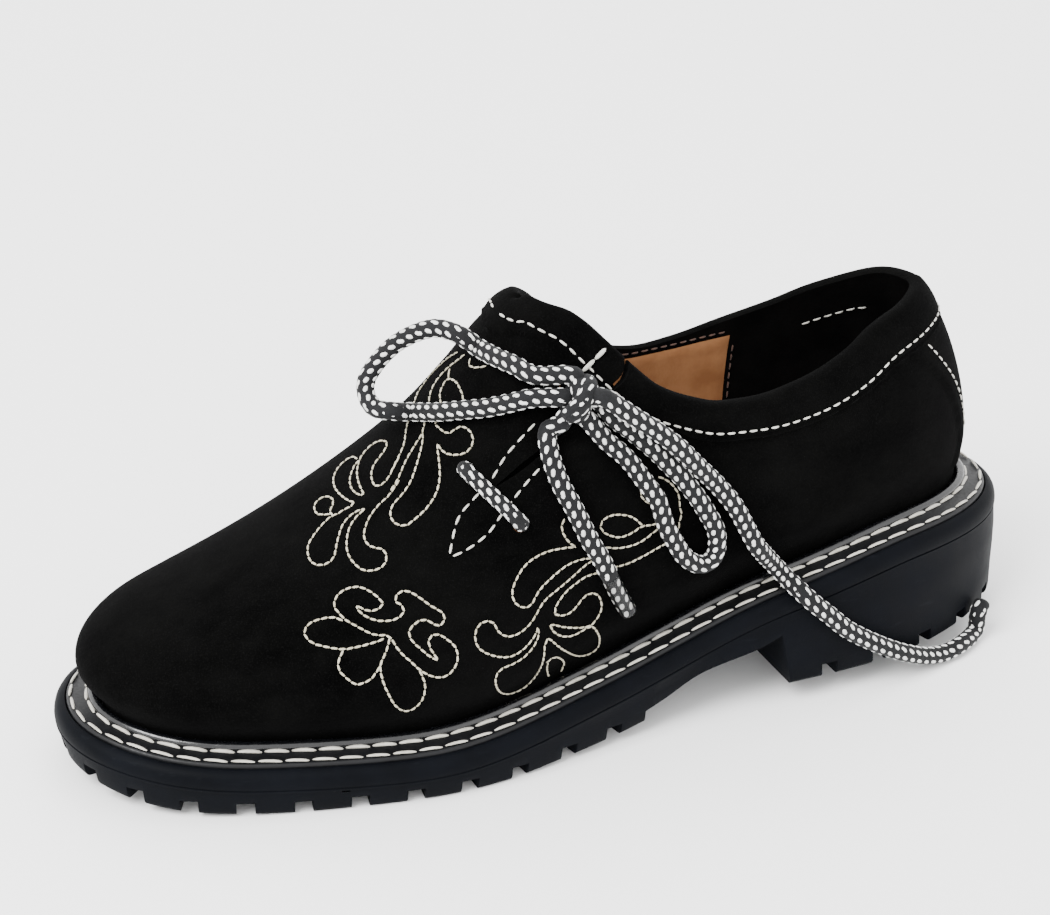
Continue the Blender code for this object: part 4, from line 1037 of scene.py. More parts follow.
def wall_sections():
    """Columns of the last's surface, lateral side from heel to toe and back along the medial side."""
    angles = shoe_angles()
    walk = [(a, "lateral") for a in angles] + [(a, "medial") for a in reversed(angles[1:-1])]
    columns = []
    edge = {"lateral": [], "medial": []}
    for angle, side in walk:
        station = last_station(angle, side)
        end = section_end(station)
        if station["share"] < THROAT_SHARE:
            edge[side].append(arch_points(station, end)[0])
        foot = np.array([[*station["foot"], station["base"]]])
        sides = side_points(station, np.linspace(0, 1, SIDE_ROW_COUNT, endpoint=False))
        width = band_width(share_at(arch_points(station, end)[0][1]))
        band = angles_below(station, end, np.concatenate([width + BAND_EDGE_ROWS, width * BAND_SHARE_ROWS]))
        arch = arch_points(station, np.linspace(0, band[0], ARCH_ROW_COUNT, endpoint=False))
        columns.append(np.vstack((foot, sides, arch, arch_points(station, band))))
    throat = np.array([[spine(THROAT_SHARE)[0], place(THROAT_SHARE), float(crest(THROAT_SHARE))]])
    line = np.vstack((throat, edge["lateral"][::-1], edge["medial"][::-1], throat))
    return columns, line


def creases(points):
    """Soft troughs and ridges in the suede, as an outward shift."""
    shift = np.zeros(len(points))
    for start, middle, stop, depth, width in CREASES:
        line = catmull([start, middle, stop], 10) * 0.001
        shift += depth * 0.001 * np.exp(-(distance_to_line(points, line) / (width * 0.001)) ** 2)
    return shift


def wall_thickness(points, line):
    """How thick the wall is at each point: band, its stitch valley and rounded edge, and the backstay."""
    gap = distance_to_line(points, line)
    share = share_at(points[:, 1])
    thick = np.full(len(points), WALL)
    inset = band_width(share) - STITCH_MARGIN
    band = BAND_RAISE * soft_step(inset + STITCH_MARGIN - gap, -0.00025, 0.00015)
    puff = 0.0006 * np.sin(np.pi * np.clip(gap / inset, 0, 1))
    valley = 0.0004 * np.exp(-((gap - inset) / 0.0006) ** 2)
    rise = (points[:, 2] - seat(share)) / COLLAR_BACK_HEIGHT
    half = smooth(BACKSTAY, "half_width", rise, "height") * SOLE_WIDTH
    aside = np.abs(points[:, 0] - spine(0.0)[0])
    stay = np.where(share < HEEL_CENTRE, BACKSTAY_RAISE * soft_step(half - aside, -0.0004, 0.0006), 0.0)
    low = rise * COLLAR_BACK_HEIGHT < FOOT_RISE + OVERLAY_START
    raised = np.where(low, 0.0, np.maximum(band + puff - valley, stay))
    thick = thick + raised + creases(points)
    lip = 0.0022
    round_off = np.sqrt(np.clip(1 - (1 - np.clip(gap / lip, 0, 1)) ** 2, 0.0, 1))
    return np.maximum(thick * (0.10 + 0.90 * round_off), 0.0003)


def make_upper_mesh():
    """The wall as one closed body: outer face, inner face, rounded collar and foot edge."""
    columns, line = wall_sections()
    build = bmesh.new()
    grid = [[build.verts.new(p) for p in column] for column in columns]
    for i in range(len(grid)):
        j = (i + 1) % len(grid)
        for k in range(len(grid[0]) - 1):
            build.faces.new((grid[i][k], grid[j][k], grid[j][k + 1], grid[i][k + 1]))
    bmesh.ops.remove_doubles(build, verts=build.verts, dist=0.00002)
    bmesh.ops.dissolve_degenerate(build, edges=build.edges, dist=0.00001)
    bmesh.ops.recalc_face_normals(build, faces=build.faces)
    side = max(build.faces, key=lambda face: face.calc_center_median().x)
    if side.normal.x < 0:
        bmesh.ops.reverse_faces(build, faces=build.faces)
    build.normal_update()
    build.verts.ensure_lookup_table()
    build.verts.index_update()
    inner = np.array([v.co for v in build.verts])
    normals = np.array([v.normal for v in build.verts])
    faces = [[v.index for v in face.verts] for face in build.faces]
    rims = [(e.link_loops[0].vert.index, e.link_loops[0].link_loop_next.vert.index)
            for e in build.edges if e.is_boundary]
    build.free()
    outer = inner + normals * wall_thickness(inner, line)[:, None]
    count = len(inner)
    solid = [[v + count for v in face] for face in faces] + [face[::-1] for face in faces]
    solid += [[a, b, b + count, a + count] for a, b in rims]
    mesh = bpy.data.meshes.new("upper_suede")
    mesh.from_pydata([tuple(p) for p in np.vstack((inner, outer))], [], solid)
    mesh.update()
    kinds = np.zeros(len(solid), dtype=np.int32)
    kinds[len(faces):2 * len(faces)] = 1
    mesh.polygons.foreach_set("material_index", kinds)
    return mesh, line


def surface_point(share, height, side="lateral"):
    """The point of the last at one share along the shoe and one height, and the wall's outward normal."""

    def at(share_now, height_now):
        station = last_station(float(turn(share_now)), side)
        angles = np.linspace(0.0, math.pi / 2, 800)
        points = arch_points(station, angles)
        angle = float(np.interp(height_now, points[:, 2], angles))
        return arch_points(station, angle)[0]

    here = at(share, height)
    along = at(share - NORMAL_SHARE_STEP, height) - here
    up = at(share, height - NORMAL_HEIGHT_STEP) - here
    normal = np.cross(along, up)
    normal /= np.linalg.norm(normal)
    if normal[0] < 0 and side == "lateral":
        normal = -normal
    return here, normal


def closed_blade(build, rows, name):
    """Joins rows of four corners into one closed body."""
    for before, after in zip(rows[:-1], rows[1:]):
        for i in range(4):
            j = (i + 1) % 4
            build.faces.new((before[i], before[j], after[j], after[i]))
    build.faces.new(rows[0][::-1])
    build.faces.new(rows[-1])
    bmesh.ops.recalc_face_normals(build, faces=build.faces)
    return finished(build, name)


def slit_cutter():
    """A thin curved blade through the wall, from over the collar down and forward."""
    shares = np.linspace(SLIT["share"][0], SLIT["share"][-1], 31)
    spots = [surface_point(s, float(smooth(SLIT, "height", s)) * INSTEP_HEIGHT) for s in shares]
    build = bmesh.new()
    rows = []
    for i, (point, normal) in enumerate(spots):
        run = spots[min(i + 1, len(spots) - 1)][0] - spots[max(i - 1, 0)][0]
        run /= np.linalg.norm(run)
        across = np.cross(normal, run)
        taper = min(1.0, 0.25 + (len(spots) - 1 - i) / 6)
        half = SLIT_WIDTH / 2 * taper
        row = []
        corners = (
            (-BLADE_INSIDE, -half), (-BLADE_INSIDE, half), (BLADE_OUTSIDE, half), (BLADE_OUTSIDE, -half))
        for deep, wide in corners:
            row.append(build.verts.new(point + normal * deep + across * wide))
        rows.append(row)
    return closed_blade(build, rows, "slit_cutter")


def hole_axes():
    """The inner end and the outward direction of each lace hole."""
    heights = HOLES["height"] * INSTEP_HEIGHT
    return [surface_point(share, height) for share, height in zip(HOLES["share"], heights)]


def hole_cutter():
    build = bmesh.new()
    radius = HOLE_DIAMETER * HOLE_LOOK / 2
    for here, normal in hole_axes():
        turned = Vector(normal).to_track_quat("Z", "Y").to_matrix().to_4x4()
        turned.translation = Vector(here)
        bmesh.ops.create_cone(build, cap_ends=True, segments=28, radius1=radius, radius2=radius,
                              depth=DRILL_LENGTH, matrix=turned)
    return finished(build, "hole_cutter")


def cut(target, meshes, self_touching=False):
    """Cuts the bodies out of an object and keeps the result as its mesh."""
    helpers = []
    for mesh in meshes:
        helper = bpy.data.objects.new(mesh.name, mesh)
        bpy.context.scene.collection.objects.link(helper)
        change = target.modifiers.new(mesh.name, "BOOLEAN")
        change.object = helper
        change.operation = "DIFFERENCE"
        change.solver = "EXACT"
        change.use_self = self_touching and mesh.name == "notch_cutter"
        change.material_mode = "INDEX"
        helpers.append(helper)
    graph = bpy.context.evaluated_depsgraph_get()
    made = bpy.data.meshes.new_from_object(target.evaluated_get(graph))
    target.modifiers.clear()
    target.data = made
    for helper in helpers:
        bpy.data.objects.remove(helper, do_unlink=True)


def tree_of(mesh, keep=None):
    """A ray tree of a mesh, of all its faces or of one material."""
    verts = [v.co.copy() for v in mesh.vertices]
    faces = [tuple(p.vertices) for p in mesh.polygons if keep is None or p.material_index == keep]
    return BVHTree.FromPolygons(verts, faces)


def cast(tree, spots):
    """Points and normals where the photograph's spots fall on a surface."""
    points = []
    normals = []
    for spot in spots:
        direction = ray(spot)
        point, normal, _, _ = tree.ray_cast(EYE, direction)
        if point is None:
            continue
        if normal.dot(direction) > 0:
            normal = -normal
        points.append(np.array(point))
        normals.append(np.array(normal))
    return points, normals


def lay_line(tree, spots, steps=6):
    """A smooth line through spots of the photograph, laid on a surface."""
    curve, _ = resample(catmull(np.array(spots, float), steps), 1.6)
    return cast(tree, curve)


def drop_on(tree, points, outward, reach=0.02):
    """Points beside a surface, moved onto it, with its normals."""
    found = []
    normals = []
    for point, away in zip(points, outward):
        start = Vector(point) + Vector(away) * reach
        hit, normal, _, _ = tree.ray_cast(start, -Vector(away), reach * 2)
        if hit is None:
            continue
        if normal.dot(Vector(away)) < 0:
            normal = -normal
        found.append(np.array(hit))
        normals.append(np.array(normal))
    return found, normals


def band_line(line):
    """Points of the last along the band's stitch row, all the way round, with outward guesses."""
    halves = {"lateral": [], "medial": []}
    for side in halves:
        for angle in shoe_angles():
            station = last_station(angle, side)
            end = section_end(station)
            angles = np.linspace(end, max(end - 0.9, 0.0), 200)
            points = arch_points(station, angles)
            inset = float(band_width(share_at(points[0][1]))) - STITCH_MARGIN
            if station["share"] > THROAT_SHARE + (inset + 0.001) / SOLE_LENGTH:
                continue
            gap = distance_to_line(points, line)
            past = np.nonzero(gap >= inset)[0]
            if len(past) == 0 or past[0] == 0:
                continue
            i = past[0]
            t = (inset - gap[i - 1]) / (gap[i] - gap[i - 1])
            point = points[i - 1] + (points[i] - points[i - 1]) * t
            middle = np.array([*station["spine"], point[2] - 0.02])
            away = point - middle
            halves[side].append((point, away / np.linalg.norm(away)))
    walk = halves["lateral"][::-1] + halves["medial"]
    return [p for p, _ in walk], [a for _, a in walk]


def make_upper():
    mesh, line = make_upper_mesh()
    suede = suede_material()
    lining = leather_material("black_lining", LINING_DARK, LINING_LIGHT, 0.85, gloss=0.04)
    upper = new_object("upper_suede", mesh, [suede, lining])
    outer_tree = tree_of(mesh, 0)
    inner_tree = tree_of(mesh, 1)
    cut(upper, [slit_cutter(), hole_cutter()])
    upper.data.shade_smooth()
    upper.data.set_sharp_from_angle(angle=math.radians(42))
    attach(upper, "root")
    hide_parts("upper")
    return upper, outer_tree, inner_tree, line


def make_band_stitches(outer_tree, inner_tree, line, thread):
    """The running stitch round the collar band, and the backstay's."""
    points, away = band_line(line)
    points, normals = drop_on(outer_tree, points, away)
    items = running_stitches(points, normals, *BAND_STITCH)
    for sign in (-1, 1):
        rows = []
        for height in np.linspace(STAY_LOW, STAY_HIGH, 40):
            rise = height / COLLAR_BACK_HEIGHT
            half = float(smooth(BACKSTAY, "half_width", rise, "height")) * SOLE_WIDTH - STAY_STITCH_INSET
            x = spine(0.0)[0] + sign * half
            z = height + float(seat(STAY_SEAT_SHARE))
            hit, normal, _, _ = outer_tree.ray_cast(Vector((x, 0.2, z)), Vector((0, -1, 0)))
            if hit is None or hit.y < place(HEEL_CENTRE):
                continue
            if distance_to_line(np.array([hit]), line)[0] > band_width(0.05) + 0.0005:
                rows.append((np.array(hit), np.array(normal)))
        if len(rows) > 3:
            items += running_stitches([p for p, _ in rows], [q for _, q in rows], *STAY_STITCH)
    points, normals = lay_line(inner_tree, FAR_ROW)
    items += running_stitches(points, normals, *STAY_STITCH)
    beads("band_stitches", items, thread)


def make_underlay(finish):
    """The dark strip that closes the slit from inside."""
    shares = np.linspace(SLIT["share"][0] + 0.02, SLIT["share"][-1] + 0.012, 40)
    build = bmesh.new()
    rows = []
    spots = [surface_point(s, float(smooth(SLIT, "height", s)) * INSTEP_HEIGHT) for s in shares]
    for i, (point, normal) in enumerate(spots):
        run = spots[min(i + 1, len(spots) - 1)][0] - spots[max(i - 1, 0)][0]
        run /= np.linalg.norm(run)
        across = np.cross(normal, run)
        row = []
        for t in np.linspace(-1, 1, 9):
            spot = point + across * t * UNDERLAY_HALF_WIDTH
            row.append(build.verts.new(spot - normal * (UNDERLAY_GAP + UNDERLAY_BOW * t * t)))
        rows.append(row)
    for before, after in zip(rows[:-1], rows[1:]):
        for k in range(8):
            build.faces.new((before[k], before[k + 1], after[k + 1], after[k]))
    mesh = finished(build, "slit_underlay")
    made = new_object("slit_underlay", mesh, finish)
    thick = made.modifiers.new("thickness", "SOLIDIFY")
    thick.thickness = 0.0008
    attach(made, "root")


def make_embroidery(outer_tree, thread):
    items = []
    for stroke in EMBROIDERY:
        points, normals = lay_line(outer_tree, stroke)
        if len(points) > 3:
            items += running_stitches(points, normals, *EMBROIDERY_STITCH, slant=0.00006)
    beads("embroidery", items, thread, flat=0.7)


def make_slit_stitches(outer_tree, thread):
    items = []
    for stroke in SLIT_ROWS:
        points, normals = lay_line(outer_tree, stroke)
        items += running_stitches(points, normals, *SLIT_STITCH)
    beads("slit_stitches", items, thread)
    items = []
    for start, stop in SLIT_BARS:
        points, normals = cast(outer_tree, [start, stop])
        if len(points) == 2:
            ends = [point + normal * BAR_STITCH_LIFT for point, normal in zip(points, normals)]
            items.append((*ends, normals[0], BAR_RADIUS))
    beads("slit_bars", items, thread, arch=0.3)


def patch(name, tree, side, shares, top_line, low, finish, lift=0.0006):
    """A thin lining patch inside one wall, between two shares and up to a top line."""
    sign = 1.0 if side == "lateral" else -1.0
    across = np.linspace(0, 1, 40)
    up = np.linspace(0, 1, 26)
    build = bmesh.new()
    rows = []
    for u in across:
        share = shares[0] + (shares[1] - shares[0]) * u
        y = place(share)
        top = float(np.interp(share, top_line[0], top_line[1]))
        row = []
        for v in up:
            z = low(share) + (top - low(share)) * v
            hit, _, _, _ = tree.ray_cast(Vector((0.0, y, z)), Vector((sign, 0, 0)))
            if hit is None:
                hit = row[-1].co + Vector((0, 0, 0.0005)) if row else Vector((0.03 * sign, y, z))
            edge = min(u, 1 - u, v, 1 - v)
            seam = math.exp(-(((top - z) - 0.0045) / 0.0006) ** 2)
            thick = lift * (0.35 + 0.65 * min(edge / 0.03, 1.0)) - 0.0003 * seam
            row.append(build.verts.new(hit - Vector((sign, 0, 0)) * thick))
        rows.append(row)
    for i in range(len(rows) - 1):
        for k in range(len(rows[0]) - 1):
            build.faces.new((rows[i][k], rows[i + 1][k], rows[i + 1][k + 1], rows[i][k + 1]))
    bmesh.ops.recalc_face_normals(build, faces=build.faces)
    mesh = finished(build, name)
    made = new_object(name, mesh, finish)
    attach(made, "root")
    return made


def rounded(corners, radius, steps=4):
    """A path through corner points, turned on a radius at each."""
    path = [corners[0]]
    for before, corner, after in zip(corners[:-2], corners[1:-1], corners[2:]):
        back = (before - corner) / np.linalg.norm(before - corner)
        ahead = (after - corner) / np.linalg.norm(after - corner)
        half = math.acos(float(np.clip(back @ ahead, -1, 1))) / 2
        middle = (back + ahead) / np.linalg.norm(back + ahead)
        centre = corner + middle * radius / math.sin(half)
        first = corner + back * radius / math.tan(half) - centre
        last = corner + ahead * radius / math.tan(half) - centre
        swing = math.pi - 2 * half
        for i in range(steps + 1):
            t = i / steps
            spoke = first * math.sin((1 - t) * swing) + last * math.sin(t * swing)
            path.append(centre + spoke / math.sin(swing))
    path.append(corners[-1])
    return path


def make_linings(inner_tree):
    """Tan leather patches inside the quarters, with a seam under their top edge and dark stitches."""
    tan = leather_material("tan_leather", TAN_DARK, TAN_LIGHT, 0.42)
    brown = thread_material("brown_thread", *BROWN)
    for side, (start, stop, top_shares, tops) in TAN_PATCHES.items():
        def low(share):
            return float(seat(share)) + INSOLE_THICKNESS + 0.004

        patch("tan_lining_" + side, inner_tree, side, (start, stop), (top_shares, tops), low, tan)
        sign = 1.0 if side == "lateral" else -1.0
        points = []
        for z in np.linspace(low(start) + 0.003, np.interp(start, top_shares, tops) - 0.003, 22):
            points.append(np.array([0.0, place(start) + 0.0016, z]))
        items = side_stitches(inner_tree, points, sign)
        points = []
        for share in np.linspace(start, stop, 40)[1:-1]:
            points.append(np.array([0.0, place(share), float(np.interp(share, top_shares, tops)) + 0.0016]))
        items += side_stitches(inner_tree, points, sign)
        beads("lining_stitches_" + side, items, brown)


def side_stitches(tree, points, sign):
    found = []
    normals = []
    for point in points:
        hit, _, _, _ = tree.ray_cast(Vector(point), Vector((sign, 0, 0)))
        if hit is not None:
            found.append(np.array(hit))
            normals.append(np.array((-sign, 0.0, 0.0)))
    if len(found) < 3:
        return []
    return running_stitches(found, normals, *LINING_STITCH)


def make_insole():
    """The tan insole board with a soft edge and a shallow foot bed."""
    stations = ring_stations(110)
    edge = FOOT_INSET + FIT_GAP
    base = -WELT_THICKNESS

    def over(rise):
        return lambda share: seat(share) + base + rise

    rings = [
        ring(stations, edge, over(0.0)),
        ring(stations, edge, over(INSOLE_THICKNESS - 0.0012)),
        ring(stations, edge + 0.0003, over(INSOLE_THICKNESS - 0.0005)),
        ring(stations, edge + 0.0008, over(INSOLE_THICKNESS - 0.0001)),
        ring(stations, edge + 0.0016, over(INSOLE_THICKNESS)),
        ring(stations, edge + 0.0040, over(INSOLE_THICKNESS - 0.0003)),
        ring(stations, edge + 0.0100, over(INSOLE_THICKNESS - 0.0006))]
    tan = leather_material("insole_leather_fine", TAN_DARK, TAN_LIGHT, 0.5)
    board = new_object("insole_board", loft_rings("insole_board", rings), tan, 40)
    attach(board, "root")
    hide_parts("insole")


def make_welt():
    """The stitched welt: a flat outer strip and a glossy bead against the upper."""
    stations = ring_stations(220)
    outer = RIM_WIDTH + FIT_GAP
    inner = outer + WELT_WIDTH

    def over(rise):
        return lambda share: seat(share) + rise

    rows = [(0.0, -WELT_THICKNESS), (0.0, -0.0009), (0.0002, -0.0004), (0.0006, -0.0001), (0.0012, 0.0),
            (0.0046, 0.0003), (0.0053, 0.0006)]
    rings = [ring(stations, outer + inset, over(rise)) for inset, rise in rows]
    centre = inner - WELT_BEAD_RADIUS
    for angle in np.linspace(math.radians(200), math.radians(-10), 15):
        inset = centre + math.cos(angle) * WELT_BEAD_RADIUS
        rise = WELT_BEAD - WELT_BEAD_RADIUS + math.sin(angle) * WELT_BEAD_RADIUS
        if inset > inner:
            inset = inner
        rings.append(ring(stations, inset, over(rise)))
    rings.append(ring(stations, inner, over(-WELT_THICKNESS)))
    mesh = loft_rings("welt_strip", rings, capped=False)
    strip = leather_material("welt_black", WELT_DARK, WELT_LIGHT, 0.42, gloss=0.22)
    gloss = leather_material("rim_black", WELT_DARK, BEAD_LIGHT, 0.20, pore=0.002, gloss=0.6)
    welt = new_object("welt_strip", mesh, [strip, gloss], 40)
    kinds = np.zeros(len(mesh.polygons), dtype=np.int32)
    per_ring = len(stations)
    kinds[per_ring * 6:per_ring * 22] = 1
    mesh.polygons.foreach_set("material_index", kinds)
    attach(welt, "root")
    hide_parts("welt")

    thread = thread_material("waxed_thread", *WAXED, 0.45)
    items = []
    for row in WELT_ROWS:
        items += welt_row(*row)
    beads("welt_stitches", items, thread, flat=0.8, arch=0.45)


def welt_row(inset, radius, length, shift):
    """One row of long stitches round the welt: its inset, thread radius, stitch length and shift."""
    angles = np.linspace(0, math.pi, 500)
    path = [(a, "lateral") for a in angles] + [(a, "medial") for a in angles[::-1][1:-1]]
    points = []
    for angle, side in path:
        x, y = inset_point(angle, side, inset)
        points.append((x, y, float(seat(share_at(y))) + (0.0003 if inset < 0.007 else 0.0006)))
    points.append(points[0])
    points = np.array(points)
    run = run_along(points)
    count = int(round(run[-1] / WELT_STITCH_PITCH))
    pitch = run[-1] / count
    items = []
    for i in range(count):
        start = (i + shift) * pitch
        stop = start + length * pitch / WELT_STITCH_PITCH
        ends = []
        for at in (start, stop):
            ends.append(spot_at(at % run[-1], run, points))
        up = np.array([0.0, 0.0, 1.0])
        across = np.cross(ends[1] - ends[0], up)
        across /= np.linalg.norm(across)
        lift = up * radius * 0.25
        items.append((ends[0] + lift - across * 0.00022, ends[1] + lift + across * 0.00022, up, radius))
    return items


def tread_height(share):
    return smooth(TREAD, "height", share) * TOE_SPRING


def groove_roof(share):
    return tread_height(share) + LUG_DEPTH


def prism(name, profile, half):
    """A flat profile in shares and heights, drawn out across the shoe."""
    build = bmesh.new()
    near = [build.verts.new((half, place(s), z)) for s, z in profile]
    far = [build.verts.new((-half, place(s), z)) for s, z in profile]
    build.faces.new(near)
    build.faces.new(far[::-1])
    for i in range(len(near)):
        j = (i + 1) % len(near)
        build.faces.new((near[i], far[i], far[j], near[j]))
    bmesh.ops.recalc_face_normals(build, faces=build.faces)
    return finished(build, name)


def edge_walk(start, stop, pitch):
    """Places along both sides of the sole, a pitch apart, from one share to another by way of the end."""
    angles = np.linspace(turn(start), turn(stop), 400)
    tags = [(a, "lateral") for a in angles] + [(a, "medial") for a in angles[::-1][1:]]
    path = np.array([outline_point(a, side) for a, side in tags])
    run = run_along(path)
    count = int(run[-1] // pitch)
    spacing = run[-1] / count
    return [tags[int(np.searchsorted(run, spacing * (i + 0.5)))] for i in range(count)]


def channel_cutter(name, start, stop):
    low, high = sorted((float(turn(start)), float(turn(stop))))
    angles = np.linspace(low, high, 60)
    if start == 0.0:
        walk = [(a, "lateral") for a in angles[::-1]] + [(a, "medial") for a in angles[1:]]
    else:
        walk = [(a, "lateral") for a in angles] + [(a, "medial") for a in angles[::-1][1:]]
    build = bmesh.new()
    rows = []
    for angle, side in walk:
        outer = inset_point(angle, side, CHANNEL_INSET)
        inner = inset_point(angle, side, CHANNEL_INSET + CHANNEL_WIDTH)
        roof = float(groove_roof(share_at(outer[1])))
        corners = ((outer, TOOL_FLOOR), (inner, TOOL_FLOOR), (inner, roof), (outer, roof))
        rows.append([build.verts.new((*p, z)) for p, z in corners])
    return closed_blade(build, rows, name)


def notch_box(build, middle, forward, length, width, low, high):
    """A box along a flat direction, from one height to another."""
    side = Vector((-forward.y, forward.x, 0.0))
    corners = []
    for z in (low, high):
        for a, b in ((-1, -1), (1, -1), (1, 1), (-1, 1)):
            spot = middle + forward * a * length / 2 + side * b * width / 2
            corners.append(build.verts.new((spot.x, spot.y, z)))
    for face in ((3, 2, 1, 0), (4, 5, 6, 7), (0, 1, 5, 4), (1, 2, 6, 5), (2, 3, 7, 6), (3, 0, 4, 7)):
        build.faces.new([corners[i] for i in face])


def notch_cutter():
    build = bmesh.new()
    walks = edge_walk(WAIST_SHARE + LUG_MARGIN_SHARE, 1.0, LUG_PITCH)
    walks += edge_walk(BREAST_SHARE - LUG_MARGIN_SHARE, 0.0, HEEL_LUG_PITCH)
    for angle, side in walks:
        inward = -edge_normal(angle, side)
        start = outline_point(angle, side) - inward * TOOL_OVERHANG
        stop = outline_point(angle, side) + inward * NOTCH_REACH
        middle = Vector((*((start + stop) / 2), 0.0))
        roof = float(groove_roof(share_at(outline_point(angle, side)[1])))
        forward = Vector((*inward, 0.0))
        notch_box(build, middle, forward, NOTCH_REACH + TOOL_OVERHANG, LUG_GAP, TOOL_FLOOR, roof)
    for share in np.arange(CROSS_START_SHARE, CROSS_END_SHARE, CROSS_PITCH / SOLE_LENGTH):
        angle = float(turn(share))
        left = inset_point(angle, "medial", CROSS_INSET)[0]
        right = inset_point(angle, "lateral", CROSS_INSET)[0]
        middle = Vector(((left + right) / 2, place(share), 0.0))
        roof = float(groove_roof(share))
        notch_box(build, middle, Vector((1, 0, 0)), right - left, LUG_GAP, TOOL_FLOOR, roof)
    return finished(build, "notch_cutter")


def soften_lugs(sole):
    """Rounds the cut edges of the lugs, the waist and the channels."""
    build = bmesh.new()
    build.from_mesh(sole.data)
    bmesh.ops.remove_doubles(build, verts=build.verts, dist=0.00005)
    low = [e for e in build.edges if e.is_manifold and e.calc_face_angle(0.0) > math.radians(50)
           and max(v.co.z for v in e.verts) < LUG_ROUND_TOP]
    bmesh.ops.bevel(build, geom=low, offset=LUG_ROUNDING, offset_type="OFFSET", segments=2, profile=0.5,
                    affect="EDGES", clamp_overlap=True)
    build.to_mesh(sole.data)
    build.free()


def make_outsole():
    """The rubber sole with a soft top edge, a parting line round its side, lugs and waist."""
    stations = ring_stations(170)

    def foot(rise):
        return lambda share: tread_height(share) + rise

    def side(part):
        return lambda share: (1 - part) * tread_height(share) + part * seat(share)

    def under_seat(drop):
        return lambda share: seat(share) - drop

    bed = WELT_THICKNESS + FIT_GAP
    rings = [ring(stations, inset, foot(rise), 1.0) for inset, rise in (
        (0.0036, 0.0), (0.0030, 0.0001), (0.0025, 0.0004), (0.0021, 0.0009), (0.0018, 0.0016))]
    rings += [ring(stations, inset, side(part), 1 - part) for part, inset in (
        (0.25, 0.0013), (SOLE_SIDE_SHARE, SOLE_SIDE_INSET), (0.62, 0.0005))]
    rings += [ring(stations, inset, under_seat(drop)) for inset, drop in (
        (0.0002, 0.0074), (0.0001, 0.0068), (0.0006, 0.0065), (0.0001, 0.0062), (0.0, 0.0056),
        (0.0001, 0.0046), (0.0004, 0.0034), (0.0009, 0.0025), (0.0016, 0.0018), (0.0024, 0.0013),
        (0.0030, RIM_DROP),
        (RIM_WIDTH - 0.0002, RIM_DROP), (RIM_WIDTH, RIM_DROP + 0.0003))]
    for inset in (RIM_WIDTH, FOOT_INSET - WALL, FOOT_INSET + FIT_GAP):
        rings.append(ring(stations, inset, under_seat(bed)))
    sole = new_object("rubber_sole", loft_rings("rubber_sole", rings), rubber_material())
    profile = [(BREAST_SHARE, TOOL_FLOOR), (BREAST_SHARE, BREAST_RISE)]
    for share in np.linspace(BREAST_SHARE + BREAST_CURVE_SHARE, WAIST_END_SHARE, 40):
        profile.append((share, float(smooth(WAIST, "height", share) * HEEL_HEIGHT)))
    profile.append((WAIST_END_SHARE, TOOL_FLOOR))
    tools = [
        prism("waist_cutter", profile, SOLE_WIDTH),
        channel_cutter("forefoot_channel", FORE_CHANNEL_SHARE, 1.0),
        channel_cutter("heel_channel", 0.0, HEEL_CHANNEL_SHARE),
        notch_cutter()]
    cut(sole, tools, self_touching=True)
    soften_lugs(sole)
    sole.data.shade_smooth()
    sole.data.set_sharp_from_angle(angle=math.radians(38))
    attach(sole, "root")
    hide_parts("outsole")


def route_points(rows):
    """A lace route's own points, in metres."""
    across = rows["across"] * SOLE_WIDTH
    return np.column_stack((across, place(rows["share"]), rows["height"] * INSTEP_HEIGHT))


def tube_frames(points):
    """Side and up directions along a line, turned as little as can be."""
    points = np.asarray(points, float)
    runs = np.gradient(points, axis=0)
    runs /= np.linalg.norm(runs, axis=1)[:, None]
    up = np.array([0.0, 0.0, 1.0])
    if abs(runs[0] @ up) > 0.9:
        up = np.array([1.0, 0.0, 0.0])
    side = np.cross(runs[0], up)
    side /= np.linalg.norm(side)
    sides = [side]
    for run in runs[1:]:
        side = side - run * (side @ run)
        side /= np.linalg.norm(side)
        sides.append(side)
    sides = np.array(sides)
    return runs, sides, np.cross(runs, sides)


def tube(name, points, radii, finish, sides_count=20, closed_ends=True):
    """A round tube along a line, with a radius at each point and domed ends."""
    runs, sides, ups = tube_frames(points)
    radii = np.broadcast_to(radii, len(points))
    rows = []
    for i, (point, side, up) in enumerate(zip(points, sides, ups)):
        rows.append([(point + (side * math.cos(a) + up * math.sin(a)) * radii[i])
                     for a in np.linspace(0, 2 * math.pi, sides_count, endpoint=False)])
    if closed_ends:
        for end, out in ((0, -1), (-1, 1)):
            point, run = points[end], runs[end] * out
            caps = []
            for t in (0.45, 0.8, 0.97):
                wide = math.sqrt(max(1 - t * t, 0.0))
                caps.append([(point + run * radii[end] * t * 0.5
                              + (sides[end] * math.cos(a) + ups[end] * math.sin(a)) * radii[end] * wide)
                             for a in np.linspace(0, 2 * math.pi, sides_count, endpoint=False)])
            rows = caps[::-1] + rows if end == 0 else rows + caps
    verts = [tuple(p) for row in rows for p in row]
    faces = []
    for i in range(len(rows) - 1):
        for k in range(sides_count):
            j = (k + 1) % sides_count
            faces.append((i * sides_count + k, i * sides_count + j, (i + 1) * sides_count + j,
                          (i + 1) * sides_count + k))
    faces.append(tuple(range(sides_count))[::-1])
    faces.append(tuple(range((len(rows) - 1) * sides_count, len(rows) * sides_count)))
    mesh = bpy.data.meshes.new(name)
    mesh.from_pydata(verts, [], faces)
    mesh.update()
    build = bmesh.new()
    build.from_mesh(mesh)
    bmesh.ops.recalc_face_normals(build, faces=build.faces)
    build.to_mesh(mesh)
    build.free()
    made = new_object(name, mesh, finish)
    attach(made, "root")
    return made


